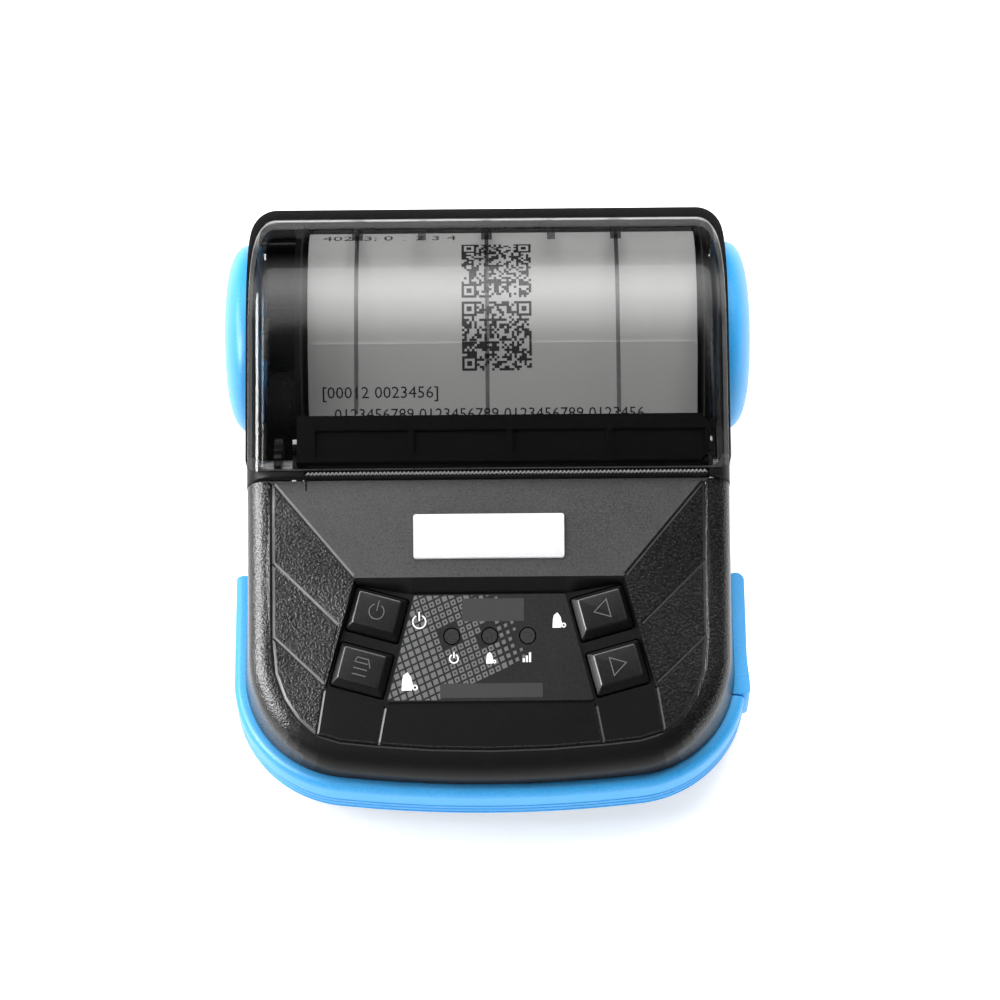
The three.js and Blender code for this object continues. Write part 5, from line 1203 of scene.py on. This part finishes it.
def key_cap(name):
    """A key whose top leans with the panel: its mark and a painted highlight on the top edges that face the
    light are look 1, and painted shade on its far bevels is look 2.
    """
    def placed(u, v, rise):
        return on_panel(*turned_at(*KEYS[name], u, v), rise)

    skin = Skin()
    skin.body([
        skin.ring([placed(u, v, rise) for u, v in rounded(key_corners(grow), radius, 4)])
        for grow, rise, radius in KEY_RINGS
    ])
    for path, closed in MARKS[name]:
        skin.add(stroke(placed, path, MARK_WIDTH, KEY_RISE - MARK_SINK, KEY_RISE + MARK_RISE, closed), look=1)
    cap = object_from(f"{name}_cap", skin)
    for face in cap.data.polygons:
        rise = face.center.z - panel_z(face.center.y)
        if face.material_index == 0 and face.normal.z < 0.985 and 0.1 < rise:
            # Top edges that face the light get a painted highlight; lower bevels turned away get painted
            # shade.
            lit = face.normal.y - face.normal.x > 0.1
            if rise > KEY_RISE - 0.12:
                face.material_index = 1 if lit else 0
            elif not lit:
                face.material_index = 2
    return cap


for key in KEYS:
    key_looks = [KEY_BLACK, MARK_GREY_AND_HIGHLIGHT, INNER_BLACK_AND_SHADE]
    finish_piece(key_cap(key), f"{key}_button", key_looks, [f"{key}_key"])


# Panel film and its print
SHEET_LOW, SHEET_HIGH, SHEET_HOLE = 0.02, 0.6, 1.75
SHEET = [(-15.2, -25.1), (-20.7, -46.0), (20.7, -46.0), (15.2, -25.1)]
INK_LOW, INK, PATCH_INK, PATTERN_INK = SHEET_HIGH - 0.02, 0.03, 0.02, 0.006
PATTERN_ROW, PATTERN_COLUMN = (1.41, math.radians(24.4)), (1.42, math.radians(108.9))
PATTERN_ORIGIN, PATTERN_END = Vector((-11.4, -36.3)), Vector((-6.9, -45.0))
PATTERN_REACH, PATTERN_SPAN = 6.3, range(-24, 25)
PATTERN_LEAN, PATTERN_MIDDLE_Y = 0.5, -33
FULL_SHARE, THIN_SHARE, THINNING = 0.74, 0.66, 0.05
FRAMED, FRAME_HOLE = (-12.2, -0.4), 0.36
PATCH_OVERLAP, LAMP_CLEARANCE = 0.6, 2.35
PLAIN_PATCHES = [(-5.5, 6.9, -30.4, -25.9), (-10.0, 10.5, -45.4, -42.6)]


def panel_film():
    skin = Skin()
    loops = [rounded(SHEET, 0.4, 4)] + [circle(x, LAMP_Y, SHEET_HOLE, 32) for x in LAMPS]
    heights = [lambda y, rise=rise: panel_z(y) + rise for rise in (SHEET_LOW, SHEET_HIGH)]
    low, high = ([skin.lay(loop, height) for loop in loops] for height in heights)
    for a, b in zip(low, high):
        skin.strip(a, b, closed=True)
    for rings, height in zip((low, high), heights):
        holed_surface(skin, list(zip(rings, loops)), lambda x, y: height(y))
    return object_from("panel_film", skin)


def flat_shape(points, top, hole=()):
    """A printed shape: a thin raised patch with an optional hole."""
    flat = prism(list(points), INK_LOW, top, "z", [list(hole)] if hole else [])
    flat.points = [on_panel(*point) for point in flat.points]
    return flat


def clear_of_marks(x, y):
    edge = PATCH_OVERLAP
    patches = any(x0 + edge < x < x1 - edge and y0 + edge < y < y1 - edge for x0, x1, y0, y1 in PLAIN_PATCHES)
    return not patches and all(math.hypot(x - lamp, y - LAMP_Y) >= LAMP_CLEARANCE for lamp in LAMPS)


def area(points):
    return sum(ax * by - bx * ay for (ax, ay), (bx, by) in zip(points, points[1:] + points[:1])) / 2


def clipped(points, fence):
    """The part of a convex outline inside a convex anticlockwise fence."""
    for (ax, ay), (bx, by) in zip(fence, fence[1:] + fence[:1]):
        def side(p):
            return (bx - ax) * (p[1] - ay) - (by - ay) * (p[0] - ax)

        kept = []
        for start, end in zip(points[-1:] + points[:-1], points):
            s, e = side(start), side(end)
            if (s > 0) != (e > 0):
                t = s / (s - e)
                kept.append((start[0] + (end[0] - start[0]) * t, start[1] + (end[1] - start[1]) * t))
            if e > 0:
                kept.append(end)
        points = kept
        if len(points) < 3:
            return []
    return points


def panel_pattern():
    """Slanting rows of small squares: full at the left, framed in the middle and thinning out at the
    right."""
    skin = Skin()
    (row_pitch, row_turn), (column_pitch, column_turn) = PATTERN_ROW, PATTERN_COLUMN
    along, across = (Vector((math.cos(turn), math.sin(turn))) for turn in (row_turn, column_turn))
    fence = grown(SHEET, -0.2)
    for row in PATTERN_SPAN:
        for column in PATTERN_SPAN:
            centre = PATTERN_ORIGIN + along * column * row_pitch + across * row * column_pitch
            x, y = centre
            reach = x + PATTERN_LEAN * (y - PATTERN_MIDDLE_Y)
            below_end = (centre - PATTERN_END).dot(Vector((-math.sin(row_turn), math.cos(row_turn)))) < 0
            if reach > PATTERN_REACH or (below_end and x > -10) or not clear_of_marks(x, y):
                continue
            share = FULL_SHARE if reach < 0 else THIN_SHARE - THINNING * reach
            half_row, half_column = along * row_pitch * share / 2, across * column_pitch * share / 2
            corners = [centre + half_row * a + half_column * b for a, b in corners_of(-1, 1, -1, 1)]
            square = [tuple(c) for c in corners]
            whole = all(in_polygon(u, v, fence) for u, v in square)
            if not whole:
                square = clipped(square, fence)
            if len(square) < 3 or abs(area(square)) < 0.05:
                continue
            framed = whole and FRAMED[0] < reach < FRAMED[1]
            hole = [tuple(centre + (c - centre) * FRAME_HOLE) for c in corners] if framed else ()
            skin.add(flat_shape(square, SHEET_HIGH + PATTERN_INK, hole))
    return object_from("panel_pattern", skin)


def receipt_mark(x, y, size):
    """A paper roll with its loose end, as a plain filled shape with a ring."""
    tall = [(-0.5, -0.75), (0.35, -0.75), (0.45, -0.3), (0.3, 0.35), (0.0, 0.75), (-0.35, 0.5), (-0.45, 0.1)]
    body = [(x + u * size, y + v * size) for u, v in tall]
    ring, hole = (
        [(x + (0.62 + radius * u) * size, y + (-0.5 + radius * v) * size) for u, v in circle(0, 0, 1, steps)]
        for radius, steps in ((0.24, 20), (0.11, 16))
    )
    return [(body, ()), (ring, hole)]


def signal_mark(x, y, size):
    """Three bars that rise to the right."""
    pitch, width, drop = 0.42, 0.28, 0.6
    bars = []
    for i, height in enumerate((0.5, 0.85, 1.25)):
        left = x + (i - 1.5) * pitch * size
        bars.append((corners_of(left, left + width * size, y - drop * size, y + (height - drop) * size), ()))
    return bars


def panel_marks():
    skin = Skin()
    for x, y, radius in ((-14.1, -30.4, 1.3), (-7.2, -37.7, 0.85)):
        for path, closed in power_mark(radius):
            shifted = [(x + u, y + v) for u, v in path]
            skin.add(stroke(on_panel, shifted, 0.34, INK_LOW, SHEET_HIGH + INK, closed))
    shapes = receipt_mark(-16.5, -42.1, 2.4) + receipt_mark(13.6, -30.3, 2.0) + receipt_mark(0.0, -37.6, 1.5)
    for shape, hole in shapes + signal_mark(7.5, -37.6, 1.5):
        skin.add(flat_shape(shape, SHEET_HIGH + INK, hole))
    return object_from("panel_marks", skin)


def panel_patches():
    skin = Skin()
    for patch in PLAIN_PATCHES:
        skin.add(flat_shape(rounded(corners_of(*patch), 0.2, 3), SHEET_HIGH + PATCH_INK))
    return object_from("panel_patches", skin)


finish_piece(panel_film(), "root", [PANEL], ["panel_sheet"])
finish_piece(panel_pattern(), "root", [PRINT_GREY])
finish_piece(panel_marks(), "root", [PRINT_WHITE])
finish_piece(panel_patches(), "root", [PRINT_PATCH])


# White label on the deck
def deck_label():
    low, high = box_mm("blank_label")
    corners = rounded(corners_of(low.x, high.x, low.y, high.y), 0.5)
    plate = prism(corners, SHEET_LOW, SHEET_HIGH, "z")
    plate.points = [(x, y, deck_z(y) + z) for x, y, z in plate.points]
    return soften(object_from("deck_label", plate), 0.12, 2, 50)


finish_piece(deck_label(), "root", [LABEL], ["blank_label"])


# Paper roll, web and their print. The web leaves the roll as a tangent towards the guide in front.
ROLL_LOW, ROLL_HIGH = box_mm("paper_roll")
ROLL_Y, ROLL_Z = (ROLL_LOW.y + ROLL_HIGH.y) / 2, (ROLL_LOW.z + ROLL_HIGH.z) / 2
ROLL_RADIUS = (ROLL_HIGH.y - ROLL_LOW.y) / 2
ROLL_LAYERS, ROLL_STEPS = 14, 160
CORE_RADIUS = 6.5
CODE_CELLS, CODE_FRAME, CODE_PITCH = 28, 6, 0.51
CODE_LEFT_X, CODE_LIFTS = -5.2, (-0.02, 0.012)
FIRST_ANGLE, SECOND_ANGLE, LEAVE_ANGLE = math.radians(-33), math.radians(12.5), math.radians(38)
WEB_HEADING = Vector((0, -math.cos(LEAVE_ANGLE), -math.sin(LEAVE_ANGLE)))
WEB_OUT = Vector((0, -math.sin(LEAVE_ANGLE), math.cos(LEAVE_ANGLE)))
WEB_START = Vector((0, ROLL_Y, ROLL_Z)) + WEB_OUT * ROLL_RADIUS
WEB_FACE = 0.4
SECOND_ROWS = int((LEAVE_ANGLE - SECOND_ANGLE) * ROLL_RADIUS / CODE_PITCH)
ROLL_TEXT = (-34.0, math.radians(-40), 4.2, "40273: 0 1 2 3 4")
WEB_TEXT = [(-34.2, 11.4, 3.5, "[00012 0023456]"), (-31.6, 15.9, 3.3, "0123456789 " * 3 + "0123456")]
PRINT_DEPTH = 0.03


def paper_roll():
    """The wound roll, with layers a little out of line at its ends."""
    skin = Skin()
    rng = random.Random(7)
    profile = []
    for i in range(ROLL_LAYERS + 1):
        radius = CORE_RADIUS + (ROLL_RADIUS - CORE_RADIUS) * i / ROLL_LAYERS
        profile.append((radius, rng.uniform(0, 0.12) if 0 < i < ROLL_LAYERS else 0.05))
    rows = [(ROLL_LOW.x + sink, radius) for radius, sink in profile]
    rows += [(ROLL_HIGH.x - sink, radius) for radius, sink in reversed(profile)]
    rings = [skin.section(x, circle(ROLL_Y, ROLL_Z, radius, ROLL_STEPS)) for x, radius in rows]
    skin.loft(rings + rings[:1])
    return object_from("wound_paper", skin)


def on_roll(x, angle, lift):
    """A point on the roll's surface, its angle counted from the top towards the front."""
    reach = ROLL_RADIUS + lift
    return x, ROLL_Y - reach * math.sin(angle), ROLL_Z + reach * math.cos(angle)


def on_web(x, travel, lift):
    """A point on the outer face of the web, some way from where it leaves the roll."""
    place = WEB_START + WEB_HEADING * travel + WEB_OUT * (WEB_FACE + lift)
    return x, place.y, place.z


def code_block(seed, rows, place, skin):
    """A generic field of printed dots with plain square frames at its corners."""
    rng = random.Random(seed)

    def dark(row, column):
        chance = rng.random() < 0.5
        far = CODE_CELLS - CODE_FRAME
        for r0, c0 in ((0, 0), (0, far), (far, 0)):
            r, c = row - r0, column - c0
            if 0 <= r < CODE_FRAME and 0 <= c < CODE_FRAME:
                ends = (0, CODE_FRAME - 1)
                return r in ends or c in ends or (r in (2, 3) and c in (2, 3))
        return chance

    for row in range(CODE_CELLS):
        filled = [dark(row, column) for column in range(CODE_CELLS)] + [False]
        if row not in rows:
            continue
        start = None
        for column, inked in enumerate(filled):
            if inked and start is None:
                start = column
            if not inked and start is not None:
                sides = corners_of(start, column, row, row + 1)
                low, high = (
                    skin.ring([place(CODE_LEFT_X + c * CODE_PITCH, r, lift) for c, r in sides])
                    for lift in CODE_LIFTS
                )
                skin.face(low)
                skin.face(high)
                skin.strip(low, high, closed=True)
                start = None


def digits(text, height, place):
    """A row of plain digits bent onto a surface: place takes (along, up, out)."""
    curve = bpy.data.curves.new("digits", "FONT")
    curve.body = text
    curve.size = height
    curve.extrude = PRINT_DEPTH / 2
    curve.resolution_u = 2
    holder = linked("digits", curve)
    mesh = evaluated_mesh(holder)
    skin = Skin()
    skin.ring([place(*v.co) for v in mesh.vertices])
    for face in mesh.polygons:
        skin.face(face.vertices)
    bpy.data.objects.remove(holder)
    bpy.data.meshes.remove(mesh)
    return skin


def roll_print():
    skin = Skin()
    for seed, rows, first in ((3, range(CODE_CELLS), FIRST_ANGLE), (5, range(SECOND_ROWS), SECOND_ANGLE)):
        code_block(
            seed, rows, lambda x, row, lift: on_roll(x, first + row * CODE_PITCH / ROLL_RADIUS, lift), skin)
    left_x, base, height, line = ROLL_TEXT
    skin.add(digits(line, height, lambda u, v, w: on_roll(left_x + u, base - v / ROLL_RADIUS, w)))
    return object_from("roll_print", skin)


def web_print():
    skin = Skin()
    past = SECOND_ROWS * CODE_PITCH - (LEAVE_ANGLE - SECOND_ANGLE) * ROLL_RADIUS
    code_block(
        5, range(SECOND_ROWS, CODE_CELLS),
        lambda x, row, lift: on_web(x, past + (row - SECOND_ROWS) * CODE_PITCH, lift), skin,
    )
    for left_x, travel, height, line in WEB_TEXT:
        skin.add(digits(line, height, lambda u, v, w: on_web(left_x + u, travel - v, w)))
    return object_from("web_print", skin)


finish_piece(paper_roll(), "paper_supply", [ROLL_PAPER], ["paper_roll"])
finish_piece(roll_print(), "paper_supply", [PRINT_BLACK])
finish_piece(web_print(), "root", [PRINT_BLACK])


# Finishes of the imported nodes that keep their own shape
NODE_LOOKS = (
    (STEEL, "usb_port button_spring_left button_spring_right hinge_pin_left hinge_pin_right platen_shaft"),
    (STEEL, "head_spring_left head_spring_right mechanism_frame stepper_motor motor_pinion gear_stud"),
    (STEEL, "case_screw_1 case_screw_2 case_screw_3 case_screw_4"),
    (INNER_BLACK_AND_SHADE, "dc_jack platen_holder side_guide_left side_guide_right paper_guide gear_cover"),
    (INNER_BLACK_AND_SHADE, "battery_pack power_switch feed_switch back_switch forward_switch"),
    (DARK_NYLON, "latch_lever_left latch_lever_right platen_gear platen_bush_left platen_bush_right"),
    (NYLON, "reduction_gear head_cable"), (BOARD, "port_board main_board"), (RUBBER, "platen_roller"),
    (LAMP, "lamp_left lamp_middle lamp_right"), (CERAMIC, "print_head"), (SINK, "head_heat_sink"),
    (CARD, "paper_core"), (PAPER, "paper_web"),
)
for look, names in NODE_LOOKS:
    for name in names.split():
        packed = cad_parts[name].data.materials
        packed.clear()
        packed.append(look)


# Floor and light
FLOOR_GLOW, FLOOR_REACH = 0.60, 3.0
SOFTBOXES = [
    ("rear_key", (0, 0.62, 1.25), (0, 0, 0), 1.0, 0.7, 20, False),
    ("left_key", (-0.75, 0.05, 0.6), (0, 0, 0.03), 0.4, 0.7, 5.5, False),
    ("front_fill", (0.1, -1.2, 0.3), (0, 0, 0.03), 0.9, 0.3, 5.0, False),
    ("left_glint", (-0.28, -0.14, 0.24), (0, -0.03, 0.03), 0.14, 0.24, 2.5, True),
    ("left_card", (-0.55, 0.02, 0.28), (0, 0.02, 0.04), 0.46, 0.12, 3.6, True),
    ("roof_card", (0, 0.215, 0.46), (0, 0.215, 0), 0.9, 0.39, 1.9, True),
]
ROOM = 0.02
ROOM_PATCHES = [
    ((0.0, 0.44, 0.90), (0.5, 2.2, 0.8), 1.9),
    ((-0.93, 0.30, 0.20), (1.6, 1.4, 1.6), 0.5),
    ((0.93, 0.45, 0.30), (3.2, 2.2, 3.2), 1.8),
]


def add_floor():
    look = Look("pale_floor")
    mesh = bpy.data.meshes.new("floor")
    corners = corners_of(-FLOOR_REACH, FLOOR_REACH, -FLOOR_REACH, FLOOR_REACH)
    mesh.from_pydata([(x, y, 0) for x, y in corners], [], [(0, 1, 2, 3)])
    mesh.materials.append(look.made(
        Base_Color=look.ramp(look.noise(3.0), (0.3, 0.90), (0.7, 0.93)), Roughness=0.7,
        Specular_IOR_Level=0.2, Emission_Color=(1, 1, 1, 1), Emission_Strength=FLOOR_GLOW,
    ))
    floor = linked("floor", mesh)


def add_softbox(name, place, aim, width, depth, power, mirrored):
    """A soft light; the mirrored ones only show in reflections and the others only light surfaces."""
    data = bpy.data.lights.new(name, "AREA")
    data.shape = "RECTANGLE"
    data.size, data.size_y = width, depth
    data.energy = power
    light = linked(name, data)
    light.location = place
    light.rotation_mode = "QUATERNION"
    light.rotation_quaternion = (Vector(aim) - Vector(place)).to_track_quat("-Z", "Y")
    light.visible_glossy = mirrored
    light.visible_diffuse = not mirrored


def add_world(strength, patches):
    """An even grey room with soft bright patches, each as (direction, spread, brightness)."""
    room = Nodes(bpy.data.worlds.new("studio"))
    place = room.node("TexCoord").outputs["Generated"]
    total = None
    for direction, spread, brightness in patches:
        aim = tuple(a * s for a, s in zip(Vector(direction).normalized(), spread))
        spot = room.node("VectorMath", place, spread, operation="MULTIPLY").outputs["Vector"]
        away = room.node("VectorMath", spot, aim, operation="DISTANCE").outputs["Value"]
        fall = room.node("MapRange", away, 0.0, 1.0, brightness, 0.0)
        fall.interpolation_type = "SMOOTHSTEP"
        light = fall.outputs["Result"]
        total = light if total is None else room.node("Math", total, light).outputs[0]
    total = room.node("Math", total, strength).outputs[0]
    room.fill(room.nodes["Background"], Color=(1, 1, 1, 1), Strength=total)
    bpy.context.scene.world = room.owner


add_floor()
for softbox in SOFTBOXES:
    add_softbox(*softbox)
add_world(ROOM, ROOM_PATCHES)
bpy.context.scene.view_settings.view_transform = "Standard"
